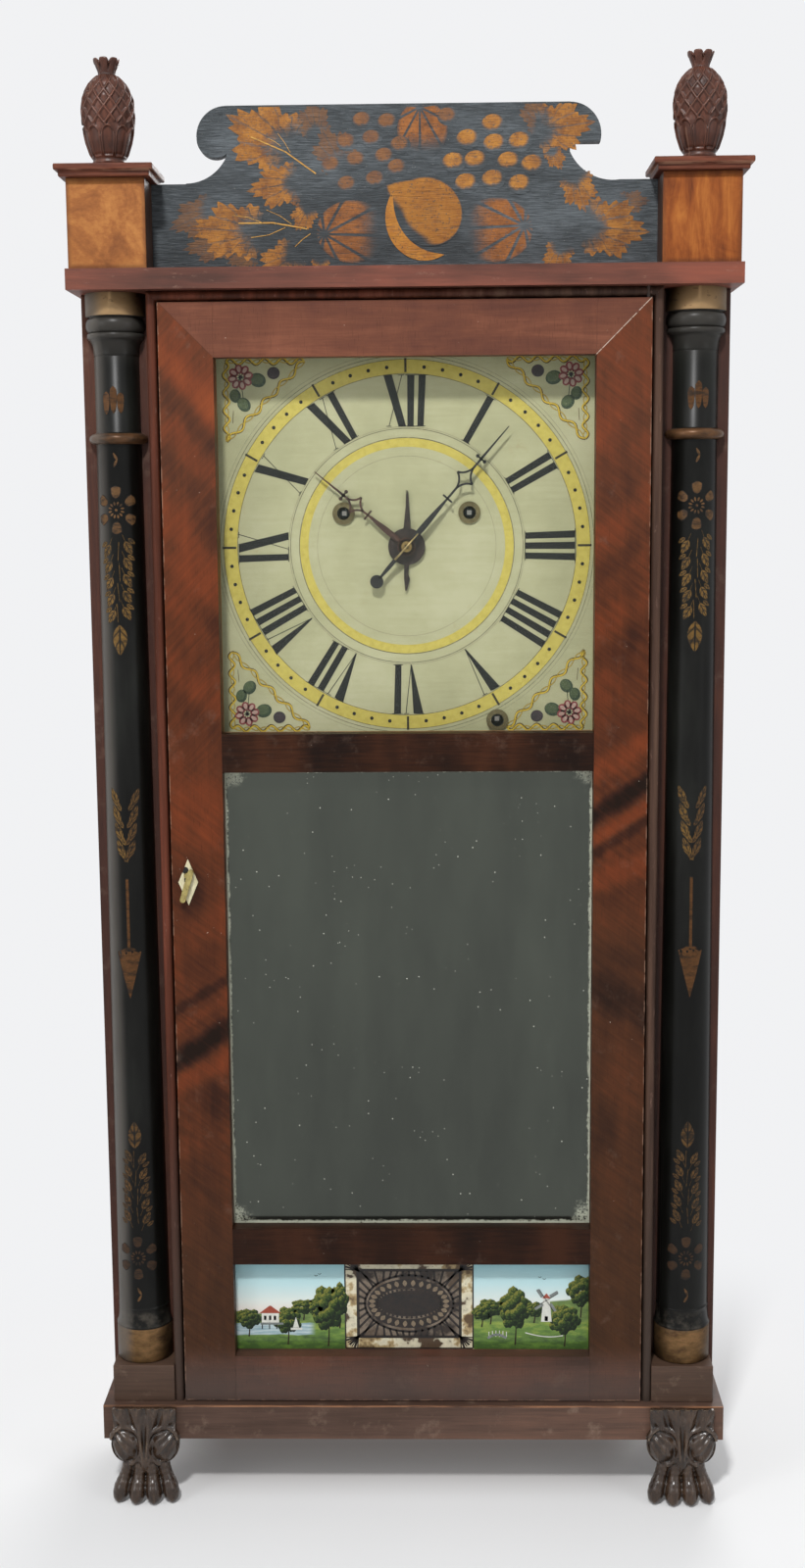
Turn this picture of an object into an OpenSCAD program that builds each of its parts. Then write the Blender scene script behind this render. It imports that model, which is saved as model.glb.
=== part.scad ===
// Shelf clock of about 1830 in a mahogany case, with half columns, a stencilled splat,
// pineapple finials, paw feet, one long door with dial, mirror and tablet, and a
// weight-driven wooden movement with strike and alarm.
// X runs to the right, Y to the back and Z up. The origin is on the floor under the
// middle of the clock. Depths named d_ count from the face of the door to the back.

/* [Case] */
// How far the side boards reach past the rings of the columns
side_past = 2.9; // [1:0.1:8]
// Thickness of the side boards
side_t = 10; // [7:0.5:12]
// Thickness of the back board
back_t = 6; // [4:0.5:9]
// Thickness of the front frame behind the columns
frame_t = 13; // [11:0.5:16]
// How far the front frame reaches in behind the door
frame_lap = 10; // [6:0.5:12]
// Height of the rail over the door, behind the bead
header_h = 16; // [12:1:18]
// Height of the rail behind the foot of the door
sill_h = 12; // [8:1:20]
// How far the door stands in front of the front frame
proud = 22; // [21.6:0.1:25]
// Thickness of the top board
top_t = 13; // [11:0.5:16]
// Overhang of the top board past the side boards
top_side = 3.9; // [2:0.1:8]
// Overhang of the top board past the door
top_front = 8.6; // [5:0.1:12]

/* [Base and feet] */
// Height of the base box
base_h = 24; // [20:0.5:30]
// Overhang of the base past the side boards
base_side = 3.9; // [2:0.1:8]
// Overhang of the base past the door
base_front = 6.3; // [4:0.1:10]
// Thickness of the rails of the base box
base_rail = 14; // [10:0.5:18]
// Thickness of the floor board of the case
floor_t = 10; // [8:0.5:12]
// Height of the underside of the base above the floor
foot_h = 44; // [40:0.5:52]
// How far the claws reach in front of the door
claw_reach = 19; // [17:0.5:24]
// Half the width over the toes of a front foot
toe_half = 24.5; // [22:0.5:26]
// Half the width over the volutes of a front foot
volute_half = 24.2; // [22:0.1:26]
// Radius of a rear foot at the top
rear_foot_r = 15; // [12:0.5:18]

/* [Columns and blocks] */
// Gap between the bead and the rings of a column
column_gap = 3.4; // [2.4:0.1:5]
// Radius of the gilt rings at the foot and the head of a column
ring_r = 19.2; // [18:0.1:19.4]
// Radius of the shaft at the foot
shaft_r0 = 17.6; // [15:0.1:18]
// Radius of the shaft at the head
shaft_r1 = 14.6; // [12:0.1:16]
// Height of the blocks under the columns
plinth_h = 26; // [20:0.5:34]
// How far the blocks under the columns reach past the rings
plinth_past = 0.4; // [0:0.1:2]
// Distance of the ring at the neck below the top board
neck_ring_down = 91.5; // [80:0.5:110]
// Distance of the fine line over the neck ring below the top board
neck_line_down = 39; // [34:0.5:44]

/* [Splat and pedestals] */
// Height of the pedestals at the ends of the splat
pedestal_h = 55.5; // [48:0.5:64]
// Width of a pedestal
pedestal_w = 49.5; // [44:0.5:51]
// Depth of a pedestal
pedestal_d = 40; // [34:0.5:44]
// How far a pedestal stands in from the end of the top board
pedestal_in = 1.45; // [0.5:0.05:4]
// Thickness of the lower and of the upper board of a pedestal cap
cap_t = 3.8; // [3:0.1:6]
// Overhang of a pedestal cap
cap_over = 6.2; // [4:0.1:8]
// Height of the splat above the top board
splat_h = 103.3; // [98:0.1:110]
// Thickness of the splat
splat_t = 9; // [6:0.5:12]
// Depth of the splat's face behind the face of the door
splat_set = 24; // [16:0.5:26]
// Height of a finial above its cap
finial_h = 67.4; // [60:0.1:76]
// Largest radius of a finial
finial_r = 17.1; // [15:0.1:19]

/* [Door] */
// Width of the door
door_w = 312.8; // [308:0.1:315]
// Thickness of the door
door_t = 21; // [19:0.5:21.5]
// Gap between the door and the bead beside it
door_gap = 1.2; // [0.8:0.1:2]
// Width of the bead around the door
bead_w = 6.2; // [5:0.1:7]
// Width of the door stiles
stile_w = 35; // [32:0.5:38]
// Height of the top rail of the door
top_rail = 34.5; // [30:0.5:40]
// Height of the two rails between the openings
mid_rail = 25.2; // [20:0.2:32]
// Height of the bottom rail of the door
low_rail = 32; // [26:0.5:38]
// Height of the opening over the dial
dial_open = 241; // [236:1:244]
// Height of the opening over the mirror
mirror_open = 313.6; // [290:0.2:330]
// Height of the opening over the tablet
tablet_open = 66.3; // [50:0.1:80]
// Depth of the rebate that holds the glass
rebate_d = 9; // [7:0.5:10]
// Width of the rebate that holds the glass
rebate_w = 6; // [4:0.5:7]
// Thickness of the glass panes
glass_t = 2; // [1.5:0.1:2.5]
// Distance of the keyhole from the edge of the door
lock_in = 10; // [9:0.5:14]
// Height of the keyhole above the foot of the door
lock_z = 364; // [340:1:380]
// How far the bolt is thrown
bolt_throw = 4; // [2:0.5:4.5]

/* [Dial and hands] */
// Gap beside the dial board in the front frame
dial_gap = 1.4; // [0.8:0.1:6]
// Gap above the dial board in the front frame
dial_top_gap = 4.2; // [1:0.1:8]
// Thickness of the dial board
dial_t = 7; // [5:0.5:8]
// Length of the minute hand from the centre
minute_len = 100; // [90:1:108]
// Length of the hour hand from the centre
hour_len = 76.5; // [68:0.5:84]
// Angle of the minute hand from the top of the dial
minute_at = 40.7; // [0:0.1:360]
// Angle of the hour hand from the top of the dial
hour_at = 309.2; // [0:0.1:360]
// Radius of the alarm disc
alarm_disc_r = 12.1; // [10:0.1:14]

/* [Movement] */
// Space between the dial and the front plate
motion_gap = 15; // [14:0.5:20]
// Thickness of the wooden plates
plate_t = 7; // [6:0.5:9]
// Space between the plates
plate_gap = 36; // [36:0.5:42]
// Thickness of the rails that carry the movement
rail_t = 7; // [5:0.5:12]
// Width of the plates
plate_w = 160; // [156:1:170]
// Height of the plates above the centre of the dial
plate_up = 134; // [132:1:138]
// Depth of the plates below the centre of the dial
plate_down = 62; // [56:1:66]
// Distance from the dial centre to each winding arbor, sideways
wind_x = 41.2; // [40:0.1:44]
// Height of the winding arbors above the dial centre
wind_z = 21.8; // [18:0.1:26]
// Radius of the winding arbors
wind_r = 3; // [2.5:0.1:3.4]
// Radius of the other arbors
arbor_r = 2; // [1.6:0.1:2.2]
// Radius of the pivots in the plates
pivot_r = 1.2; // [0.8:0.1:1.5]
// Radial play of a pivot or arbor in its hole
play = 0.06; // [0.03:0.01:0.1]
// Radius of the line of the cord on its drum
drum_cord_r = 13; // [11:0.1:14]
// Teeth of the wheels that drive an eight-leaf pinion at a ratio of seven
wheel_teeth = 56; // [56]
// Teeth of the third wheel
third_teeth = 40; // [40]
// Leaves of the train pinions
leaves = 8; // [8]
// Teeth of the escape wheel
escape_teeth = 40; // [36, 40, 48]
// Radius of the escape wheel
escape_r = 20; // [17:0.5:20]
// Distance of the pendulum to the right of the dial centre
pendulum_x = 24; // [24:0.5:26]
// Distance from the suspension to the middle of the bob
pendulum_len = 262; // [250:1:266]
// Radius of the pendulum bob
bob_r = 19; // [16:0.5:20]

/* [Weights and cords] */
// Radius of the time and strike weights
weight_r = 26; // [22:0.5:28]
// Height of the time and strike weights
weight_h = 108; // [90:1:130]
// Radius of the alarm weight
alarm_weight_r = 15; // [12:0.5:18]
// Height of the alarm weight
alarm_weight_h = 62; // [50:1:80]
// Height of the foot of the weights above the floor of the case
weight_clear = 8; // [5:0.5:14]
// Radius of the weight cords
cord_r = 1; // [0.8:0.1:1.2]
// Gap between a weight and the side board
weight_gap = 6.5; // [4:0.5:10]
// Radius of the pulleys over the rims
pulley_r = 18; // [16.5:0.1:19]
// Radius of the line of the cord on a pulley
pulley_cord_r = 16; // [14:0.1:16.4]

/* [Bell and alarm] */
// Radius of the bell at the mouth
bell_r = 30; // [26:0.5:31]
// Distance of the bell's axis below the dial centre
bell_down = 110; // [104:1:114]
// Distance of the alarm arbor to the right of the dial centre
alarm_x = 59.4; // [58:0.1:61]
// Distance of the alarm arbor below the dial centre
alarm_down = 115; // [112:0.1:116]

/* [Hidden] */
$fn = 48;

// Depths behind the face of the door
seat = 0.3;
seam = 0.05;
d_frame = proud;
d_inside = d_frame + frame_t;
d_dial = d_inside - dial_t;
d_front_plate = d_inside + motion_gap;
d_space = d_front_plate + plate_t;
d_back_plate = d_space + plate_gap;
d_rails = d_back_plate + plate_t;
d_back = d_rails + rail_t;
d_end = d_back + back_t;
face_y = -(claw_reach + d_end) / 2 + claw_reach;

// Heights
base_top = foot_h + base_h;
door_z0 = base_top + 1;
tablet_z0 = door_z0 + low_rail;
tablet_z1 = tablet_z0 + tablet_open;
mirror_z0 = tablet_z1 + mid_rail;
mirror_z1 = mirror_z0 + mirror_open;
dial_z0 = mirror_z1 + mid_rail;
dial_z1 = dial_z0 + dial_open;
door_z1 = dial_z1 + top_rail;
top_z = door_z1 + 1 + bead_w;
top_z1 = top_z + top_t;
dial_z = (dial_z0 + dial_z1) / 2;
cap_z = top_z1 + pedestal_h;
cap_z1 = cap_z + 2 * cap_t;

// Half widths and places to the side, from the door outwards
door_half = door_w / 2;
open_half = door_half - stile_w;
bead_in = door_half + door_gap;
bead_out = bead_in + bead_w;
frame_in = door_half - frame_lap;
column_x = bead_out + column_gap + ring_r;
case_half = column_x + ring_r + side_past;
half_in = case_half - side_t;
foot_x = case_half - toe_half;
pedestal_x = case_half + top_side - pedestal_in - pedestal_w / 2;
pulley_x = half_in - weight_gap - weight_r - pulley_cord_r;

// Dial board
dial_w = 2 * (frame_in - dial_gap);
dial_h = 2 * (top_z - header_h - dial_top_gap - dial_z);

// Colours
mahogany = "#6b2f1e";
dark_mahogany = "#4a281c";
veneer = "#a8602a";
black_paint = "#23282a";
gilt = "#8a6a35";
pine = "#c9a777";
cherry = "#9a6238";
iron = "#3d3d3f";
steel = "#8b8d90";
brass = "#b8913f";
bone = "#e8dfc2";
dial_paint = "#dcdcc4";

// A block between two limits on each axis, with the depths counted from the door's face
module block(x, d, z) {
    translate([x[0], face_y + d[0], z[0]])
        cube([x[1] - x[0], d[1] - d[0], z[1] - z[0]]);
}

// An outline drawn in X and Z, as thick as the stretch between two depths
module slab(d) {
    translate([0, face_y + d[1], 0])
        rotate([90, 0, 0])
            linear_extrude(d[1] - d[0])
                children();
}

// A round rod along Y at p = [x, z]
module rod(p, r, d) {
    translate([p[0], face_y + d[0], p[1]])
        rotate([-90, 0, 0])
            cylinder(r = r, h = d[1] - d[0]);
}

// The same piece on the left and on the right
module both_sides() {
    children();
    mirror([1, 0, 0])
        children();
}

function polar(p, r, a) = [p[0] + r * cos(a), p[1] + r * sin(a)];
function heading(p, q) = atan2(q[1] - p[1], q[0] - p[0]);
// Where circles of radius a about p and b about q meet, on the right of the way from p to q
function meet(p, a, q, b) =
    let (s = norm(q - p), u = (q - p) / s, m = (a * a - b * b + s * s) / (2 * s),
         h = sqrt(a * a - m * m))
    p + m * u + h * [u[1], -u[0]];

// Case

// Front and side rails around the floor board of the case
module base_box() {
    half = case_half + base_side;
    color(dark_mahogany) {
        difference() {
            block([-half, half], [-base_front, base_rail - base_front], [foot_h, base_top]);
            hinge_bore(pin_r);
        }
        both_sides()
            block([half - base_rail, half], [base_rail - base_front + seam, d_end], [foot_h, base_top]);
    }
    color(pine)
        block([base_rail - half + seam, half - base_rail - seam],
              [base_rail - base_front + seam, d_end], [base_top - floor_t, base_top]);
}

module side_boards() {
    color(mahogany)
        both_sides()
            block([half_in, case_half], [d_inside, d_back], [base_top, top_z]);
}

module back_board() {
    color(pine)
        block([-case_half, case_half], [d_back, d_end], [base_top, top_z]);
}

// Two wide stiles behind the columns, with a rail at the head and one at the foot
module front_frame() {
    color(mahogany)
        for (z = [[base_top, base_top + sill_h], [top_z - header_h, top_z]])
            block([-frame_in + seam, frame_in - seam], [d_frame, d_inside], z);
    color(mahogany)
        both_sides()
            block([frame_in, case_half], [d_frame, d_inside], [base_top, top_z]);
}

// The top board carries the splat and the pedestals, and has a slot for each pulley
module top_board() {
    half = case_half + top_side;
    color(mahogany)
        difference() {
            block([-half, half], [-top_front, d_end], [top_z, top_z1]);
            both_sides() {
                block([pulley_x - slot_in, pulley_x + pulley_r + 3],
                      [cord_d - pulley_w / 2 - 1.5, cord_d + pulley_w / 2 + 1.5],
                      [top_z - 1, top_z1 + 1]);
                rod([pulley_x, pulley_z], pulley_axle_r + play,
                    [cord_d - pulley_axle_h - play, cord_d + pulley_axle_h + play]);
            }
            hinge_bore(pin_r);
        }
}

// Half-round bead around the door, mitred at the top corners
module door_bead() {
    color(dark_mahogany)
        difference() {
            union() {
                both_sides()
                    intersection() {
                        bead_bar(bead_in, base_top, top_z);
                        slab([0, d_frame])
                            polygon([[bead_in, base_top], [bead_out, base_top],
                                     [bead_out, top_z], [bead_in, top_z - bead_w]]);
                    }
                intersection() {
                    translate([0, 0, top_z - bead_w])
                        rotate([0, 90, 0])
                            mirror([1, 0, 0])
                                translate([0, 0, -bead_out])
                                    linear_extrude(2 * bead_out)
                                        bead_section();
                    slab([0, d_frame])
                        polygon([[-bead_out + seam, top_z], [bead_out - seam, top_z],
                                 [bead_in - seam, top_z - bead_w],
                                 [-bead_in + seam, top_z - bead_w]]);
                }
            }
            hinge_bore(pin_r);
            // mortise for the lock bolt
            block([-bead_in - bolt_throw - 1, -bead_in + 1], bolt_d + [-0.3, 0.3],
                  [key_z + bolt_z[0] - 0.3, key_z + bolt_z[1] + 0.3]);
        }
}

// Section of the bead, its width along X and its depth along Y
module bead_section() {
    r = bead_w / 2;
    translate([r, face_y + r + 0.6])
        circle(r = r);
    translate([0, face_y + r + 0.6])
        square([bead_w, d_frame - r - 0.6]);
}

module bead_bar(x, z0, z1) {
    translate([x, 0, z0])
        linear_extrude(z1 - z0)
            bead_section();
}

module plinth_blocks() {
    color(dark_mahogany)
        both_sides()
            block([bead_out, column_x + ring_r + plinth_past], [0.5, d_frame],
                  [base_top, base_top + plinth_h]);
}

// Turned columns split down the middle and glued to the front frame
module half_columns() {
    color(black_paint)
        both_sides()
            translate([column_x, face_y + d_frame, 0])
                rotate([0, 0, 180])
                    rotate_extrude(angle = 180, $fn = 64)
                        polygon(column_profile());
}

function column_profile() =
    let (z0 = base_top + plinth_h, z1 = top_z,
         astragal = z1 - neck_ring_down, neck = z1 - neck_line_down)
    concat(
        [[0, z0], [ring_r - 0.8, z0], [ring_r, z0 + 1], [ring_r, z0 + 24], [ring_r - 1.2, z0 + 27],
         [shaft_r0 + 0.5, z0 + 30], [shaft_r0, z0 + 37], [shaft_r0 + 0.5, z0 + 38],
         [shaft_r0, z0 + 39], [shaft_r1 + 0.1, astragal - 4]],
        [for (a = [-90:22.5:90]) [shaft_r1 + 0.6 + 3.1 * cos(a), astragal + 3.1 * sin(a)]],
        [[shaft_r1 - 0.1, astragal + 4], [shaft_r1 - 0.2, neck - 2], [shaft_r1 + 0.4, neck - 1],
         [shaft_r1 + 0.4, neck], [shaft_r1, neck + 0.5]],
        [for (a = [10:16:90]) [shaft_r1 + 3.8 * (1 - cos(a)), neck + 1 + 14 * sin(a)]],
        [for (a = [-80:20:80]) [ring_r - 1.4 + 1.2 * cos(a), z1 - 19.5 + 4.2 * sin(a)]],
        [[ring_r, z1 - 15], [ring_r, z1], [0, z1]]);

// Board between the pedestals, with a scroll cut at each end of its raised middle
module splat() {
    color(black_paint)
        slab([splat_set, splat_set + splat_t])
            translate([0, top_z1])
                splat_outline();
}

module splat_outline() {
    half = pedestal_x - pedestal_w / 2;
    cove_r = [29, 30.3];
    left_cove = [-half + 22.45, pedestal_h + 29.4];
    right_cove = [half - 28.45, pedestal_h + 30];
    left_ear = [-half + 48.45, splat_h - 18.9];
    right_ear = [half - 55.95, splat_h - 19.9];
    ear_r = [18.8, 19.8];
    difference() {
        union() {
            translate([-half, 0])
                square([2 * half, pedestal_h]);
            translate([left_cove[0], 1])
                square([right_cove[0] - left_cove[0], splat_h - 24.6]);
        }
        translate(left_cove)
            circle(r = cove_r[0]);
        translate(right_cove)
            circle(r = cove_r[1]);
    }
    translate([left_ear[0], pedestal_h])
        square([right_ear[0] - left_ear[0], splat_h - pedestal_h]);
    translate(left_ear - [7, 1.3])
        circle(r = 11.7);
    difference() {
        union() {
            translate(left_ear)
                circle(r = ear_r[0]);
            translate(right_ear)
                circle(r = ear_r[1]);
        }
        translate(left_ear - [30, 40])
            square([32.5, 40]);
        translate(left_ear - [0, 40])
            square([40, 30]);
        translate(right_ear - [25.5, 44.7])
            square([60, 40]);
    }
}

module pedestals() {
    color(veneer)
        both_sides()
            block([pedestal_x - pedestal_w / 2, pedestal_x + pedestal_w / 2],
                  [pedestal_d0, pedestal_d0 + pedestal_d], [top_z1, cap_z]);
}

// A narrow board under a wider one
module pedestal_caps() {
    half = pedestal_w / 2;
    color(dark_mahogany)
        both_sides() {
            block([pedestal_x - half - cap_over + 2.5, pedestal_x + half + cap_over - 2.5],
                  [pedestal_d0 - cap_over + 1, pedestal_d0 + pedestal_d + cap_over - 2.5],
                  [cap_z, cap_z + cap_t]);
            block([pedestal_x - half - cap_over, pedestal_x + half + cap_over],
                  [pedestal_d0 - cap_over - 1.5, pedestal_d0 + pedestal_d + cap_over],
                  [cap_z + cap_t, cap_z1]);
        }
}

// Carved pineapples: neck ring, body and a crown of leaves
module finials() {
    k = finial_h / 67.4;
    color(dark_mahogany)
        both_sides()
            translate([pedestal_x, face_y + pedestal_d0 + 19.5, cap_z1]) {
                rotate_extrude()
                    polygon(finial_profile(k));
                for (i = [0:5])
                    rotate([0, 0, 60 * i + 30])
                        translate([4.6, 0, 56 * k])
                            rotate([0, 16, 0])
                                cylinder(r1 = 2.2, r2 = 2.7, h = (finial_h - 56 * k - 0.9) / cos(16),
                                         $fn = 16);
            }
}

function finial_profile(k) =
    [[0, 0], [9.8, 0], [9.8, 2.4 * k], [10.6, 4 * k], [9.9, 5.6 * k], [12.2, 9.5 * k],
     [finial_r - 1.4, 20 * k], [finial_r, 31 * k], [finial_r - 0.4, 37 * k],
     [finial_r - 2.6, 46 * k], [finial_r - 6, 52.5 * k], [6.4, 56.6 * k], [5.6, 58 * k],
     [5.8, 61 * k], [0, 61 * k]];

// Feet

// Carved bracket of leaves and volutes on the base, over a paw with four toes
module front_feet() {
    color(dark_mahogany)
        both_sides()
            translate([foot_x, 0, 0]) {
                intersection() {
                    slab([-15, 24])
                        bracket_outline();
                    translate([-60, 0, 0])
                        rotate([90, 0, 90])
                            linear_extrude(120)
                                translate([face_y, 0])
                                    polygon([[-base_front, base_top + 1], [-base_front - 4, base_top],
                                             [-14, base_top - 8], [-15, foot_h + 4], [-13.5, foot_h - 8],
                                             [-9, foot_h - 18], [18, foot_h - 18], [24, foot_h - 6],
                                             [24, foot_h], [-base_front, foot_h]]);
                }
                difference() {
                    union() {
                        slab([-9, 18])
                            translate([-15, 12])
                                square([30, foot_h - 26]);
                        for (i = [-1.5:1:1.5])
                            toe(i);
                    }
                    translate([-50, -100, -20])
                        cube([100, 200, 20]);
                }
            }
}

// Front outline of the bracket, seen as two volutes under a spray of leaves
module bracket_outline() {
    both_volutes() {
        translate([volute_half - 13, foot_h + 2])
            circle(r = 13);
        translate([volute_half - 14, foot_h - 6])
            circle(r = 11);
        translate([9, base_top - 10])
            circle(r = 9);
    }
    translate([-12, foot_h - 18])
        square([24, base_h + 16]);
}

module both_volutes() {
    children();
    mirror([1, 0])
        children();
}

// One toe, from its knuckle at the ankle to its claw on the floor
module toe(i) {
    splay = i / 1.5;
    knuckle = [9.5 * splay, -7, 23];
    tip = [(toe_half - 4.4) * splay, -claw_reach + 4.6 + 4 * abs(splay) - 1.3, 4.3];
    reach = norm(tip - knuckle);
    lean = acos((tip[2] - knuckle[2]) / reach);
    turn = atan2(tip[1] - knuckle[1], tip[0] - knuckle[0]);
    translate([0, face_y, 0]) {
        translate(knuckle)
            sphere(r = 6.2, $fn = 24);
        translate(tip)
            sphere(r = 4.6, $fn = 24);
        translate(knuckle)
            rotate([0, lean, turn])
                cylinder(r1 = 5.6, r2 = 4.2, h = reach, $fn = 24);
    }
}

module rear_feet() {
    color(dark_mahogany)
        both_sides()
            translate([case_half - rear_foot_r - 4, face_y + d_end - rear_foot_r - 4, 0])
                rotate_extrude()
                    polygon([[0, 0], [rear_foot_r - 6, 0], [rear_foot_r - 5, 4],
                             [rear_foot_r - 6, 10], [rear_foot_r - 2, 22], [rear_foot_r, foot_h - 10],
                             [rear_foot_r, foot_h], [0, foot_h]]);
}

// Door

// Lip, rebate and mortises of the whole door, cut into stiles and rails by door_frame
module door_blank() {
    difference() {
        block([-door_half, door_half], [0, door_t], [door_z0, door_z1]);
        for (z = [[tablet_z0, tablet_z1], [mirror_z0, mirror_z1], [dial_z0, dial_z1]]) {
            block([-open_half, open_half], [-1, door_t + 1], z);
            block([-open_half - rebate_w, open_half + rebate_w], [d_glass, door_t + 1],
                  [z[0] - rebate_w, z[1] + rebate_w]);
        }
        block(lock_x + [-0.1, 0.1], [lock_d - 0.1, door_t + 1],
              [key_z - lock_half - 0.1, key_z + lock_half + 0.1]);
        block([-door_half - 1, lock_x[0] + 1], bolt_d + [-0.3, 0.3],
              [key_z + bolt_z[0] - 0.3, key_z + bolt_z[1] + 0.3]);
        rod([key_x, key_z], key_r + 0.4, [-1, lock_d + 1]);
        hinge_bore(pin_r + play);
    }
}

module door_frame() {
    stile = open_half + seam;
    d = [-1, door_t + 1];
    color(mahogany) {
        for (x = [[-door_half - 1, -stile], [stile, door_half + 1]])
            intersection() {
                door_blank();
                block(x, d, [door_z0 - 1, door_z1 + 1]);
            }
        for (z = [[door_z0, tablet_z0], [tablet_z1, mirror_z0], [mirror_z1, dial_z0], [dial_z1, door_z1]])
            intersection() {
                door_blank();
                block([-open_half, open_half], d, z);
            }
    }
}

// A pane in the rebate behind an opening
module pane(z) {
    reach = rebate_w - 0.5;
    block([-open_half - reach, open_half + reach], [d_glass, d_glass + glass_t],
          [z[0] - reach, z[1] + reach]);
}

module door_glass() {
    color("#c8d4d040")
        pane([dial_z0, dial_z1]);
}

module mirror_glass() {
    color("#5c6462")
        pane([mirror_z0, mirror_z1]);
}

module tablet_glass() {
    color("#7a9a6a")
        pane([tablet_z0, tablet_z1]);
}

// Board behind the mirror, and strips that hold the two clear panes
module door_backing() {
    reach = rebate_w - 0.3;
    d = [d_glass + glass_t, door_t - 1];
    color(pine) {
        block([-open_half - reach, open_half + reach], [d[0], d[0] + 4],
              [mirror_z0 - reach, mirror_z1 + reach]);
        for (z = [[tablet_z0, tablet_z1], [dial_z0, dial_z1]]) {
            both_sides()
                block([open_half + 0.5, open_half + reach], d, [z[0] - reach, z[1] + reach]);
            for (e = [[z[0] - reach, z[0] - 0.5], [z[1] + 0.5, z[1] + reach]])
                block([-open_half - 0.5 + seam, open_half + 0.5 - seam], d, e);
        }
    }
}

// Bone diamond around the keyhole
module keyhole_plate() {
    color(bone)
        slab([-plate_proud, 0])
            difference() {
                translate([key_x + 0.9, key_z - 4.8])
                    polygon([[0, 15.6], [6.5, 0], [0, -15.6], [-6.5, 0]]);
                translate([key_x, key_z])
                    circle(r = key_r + 0.4);
                translate([key_x - 0.7, key_z - 6])
                    square([1.4, 6]);
            }
}

// Iron box let into the back of the stile
module door_lock() {
    color(iron)
        difference() {
            block(lock_x, [lock_d, door_t], [key_z - lock_half, key_z + lock_half]);
            block(lock_x + [1.2, -1.2], [lock_d + 1.2, door_t - 1.2],
                  [key_z - lock_half + 1.2, key_z + lock_half - 1.2]);
            block([lock_x[0] - 1, lock_x[0] + 2], bolt_d + [-0.1, 0.1],
                  [key_z + bolt_z[0] - 0.1, key_z + bolt_z[1] + 0.1]);
            rod([key_x, key_z], key_r + 0.3, [lock_d - 1, lock_d + 2]);
        }
}

module lock_bolt() {
    color(steel)
        block([-door_half + 0.3, key_x + 8], bolt_d, [key_z + bolt_z[0], key_z + bolt_z[1]]);
}

// Key with a flat bow, left in the lock
module door_key() {
    color("#d8c98e") {
        rod([key_x, key_z], key_r, [-plate_proud - 2.5, bolt_d[0] - 0.4]);
        slab([-plate_proud - 3.6, -plate_proud - 1.2])
            translate([key_x, key_z])
                rotate(-17)
                    translate([2.2, -6]) {
                        translate([-1.9, -10])
                            square([3.8, 19]);
                        translate([0, 9])
                            circle(r = 1.9);
                        translate([0, -10])
                            circle(r = 1.9);
                    }
    }
}

// Wire pins that the door turns on, at its right edge
module hinge_pins() {
    color(iron)
        for (z = [[base_top - 8, door_z0 + 12], [door_z1 - 12, top_z + 5]])
            translate([hinge_x, hinge_y, z[0]])
                cylinder(r = pin_r, h = z[1] - z[0]);
}

module hinge_bore(r) {
    for (z = [[base_top - 8, door_z0 + 13], [door_z1 - 13, top_z + 5]])
        translate([hinge_x, hinge_y, z[0]])
            cylinder(r = r, h = z[1] - z[0]);
}

// Dial and hands

module dial_board() {
    color(dial_paint)
        difference() {
            block([-dial_w / 2, dial_w / 2], [d_dial, d_inside], [dial_z - dial_h / 2, dial_z + dial_h / 2]);
            rod([0, dial_z], hour_pipe_r + 1.5, [d_dial - 1, d_inside + 1]);
            for (p = winding_places)
                rod([0, dial_z] + p, grommet_neck, [d_dial - 1, d_inside + 1]);
        }
}

// Pine strips inside the case: two hold the dial, and two carry the movement
module inner_strips() {
    color(pine)
        both_sides() {
            block([dial_w / 2 - 9, dial_w / 2 + 21], [d_inside, d_inside + 8],
                  [dial_z - dial_h / 2 + 12, dial_z + dial_h / 2 - 12]);
            block([plate_w / 2 - 20, plate_w / 2 - 4], [d_rails, d_back],
                  [dial_z - plate_down + 4, dial_z + plate_up - 4]);
        }
}

module winding_grommets() {
    color(brass)
        for (p = winding_places)
            difference() {
                union() {
                    rod([0, dial_z] + p, grommet_r, [d_dial - 1.2, d_dial]);
                    rod([0, dial_z] + p, grommet_neck, [d_dial, d_inside]);
                }
                rod([0, dial_z] + p, grommet_bore, [d_dial - 2, d_inside + 1]);
            }
}

// A hand drawn pointing up from its centre, with a cross bar, an open diamond and a ball bar
module hand(len, bar, diamond, balls, hub, bore, wide) {
    difference() {
        union() {
            circle(r = hub);
            polygon([[-wide, 0], [wide, 0], [wide * 0.55, diamond], [0.3, len], [-0.3, len],
                     [-wide * 0.55, diamond]]);
            translate([-3.6, bar])
                square([7.2, 1]);
            difference() {
                astroid(diamond, 7.6);
                astroid(diamond, 5.2);
            }
            translate([-3, balls])
                square([6, 0.8]);
            for (x = [-2.6, 2.6])
                translate([x, balls + 0.4])
                    circle(r = 1);
        }
        circle(r = bore);
    }
}

// Four-pointed figure with hollow sides
module astroid(z, r) {
    polygon([for (a = [0:22.5:337.5])
        [r * 0.85 * pow(abs(cos(a)), 1.6) * sign(cos(a)),
         z + r * pow(abs(sin(a)), 1.6) * sign(sin(a))]]);
}

module hour_hand() {
    color("#4a2f22")
        slab([d_hour_hand, d_hour_hand + hand_t])
            translate([0, dial_z])
                rotate(-hour_at)
                    hand(hour_len, 33, 42.4, 53, 6, hour_pipe_r, 1.5);
}

module minute_hand() {
    color("#262a2e")
        slab([d_minute_hand, d_minute_hand + hand_t])
            translate([0, dial_z])
                rotate(-minute_at) {
                    hand(minute_len, 40.7, 56.6, 73.2, 4.6, centre_r, 1.4);
                    difference() {
                        union() {
                            translate([-1.2, -28])
                                square([2.4, 25]);
                            translate([0, -30])
                                circle(r = 4.4);
                        }
                        circle(r = centre_r);
                    }
                }
}

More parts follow.
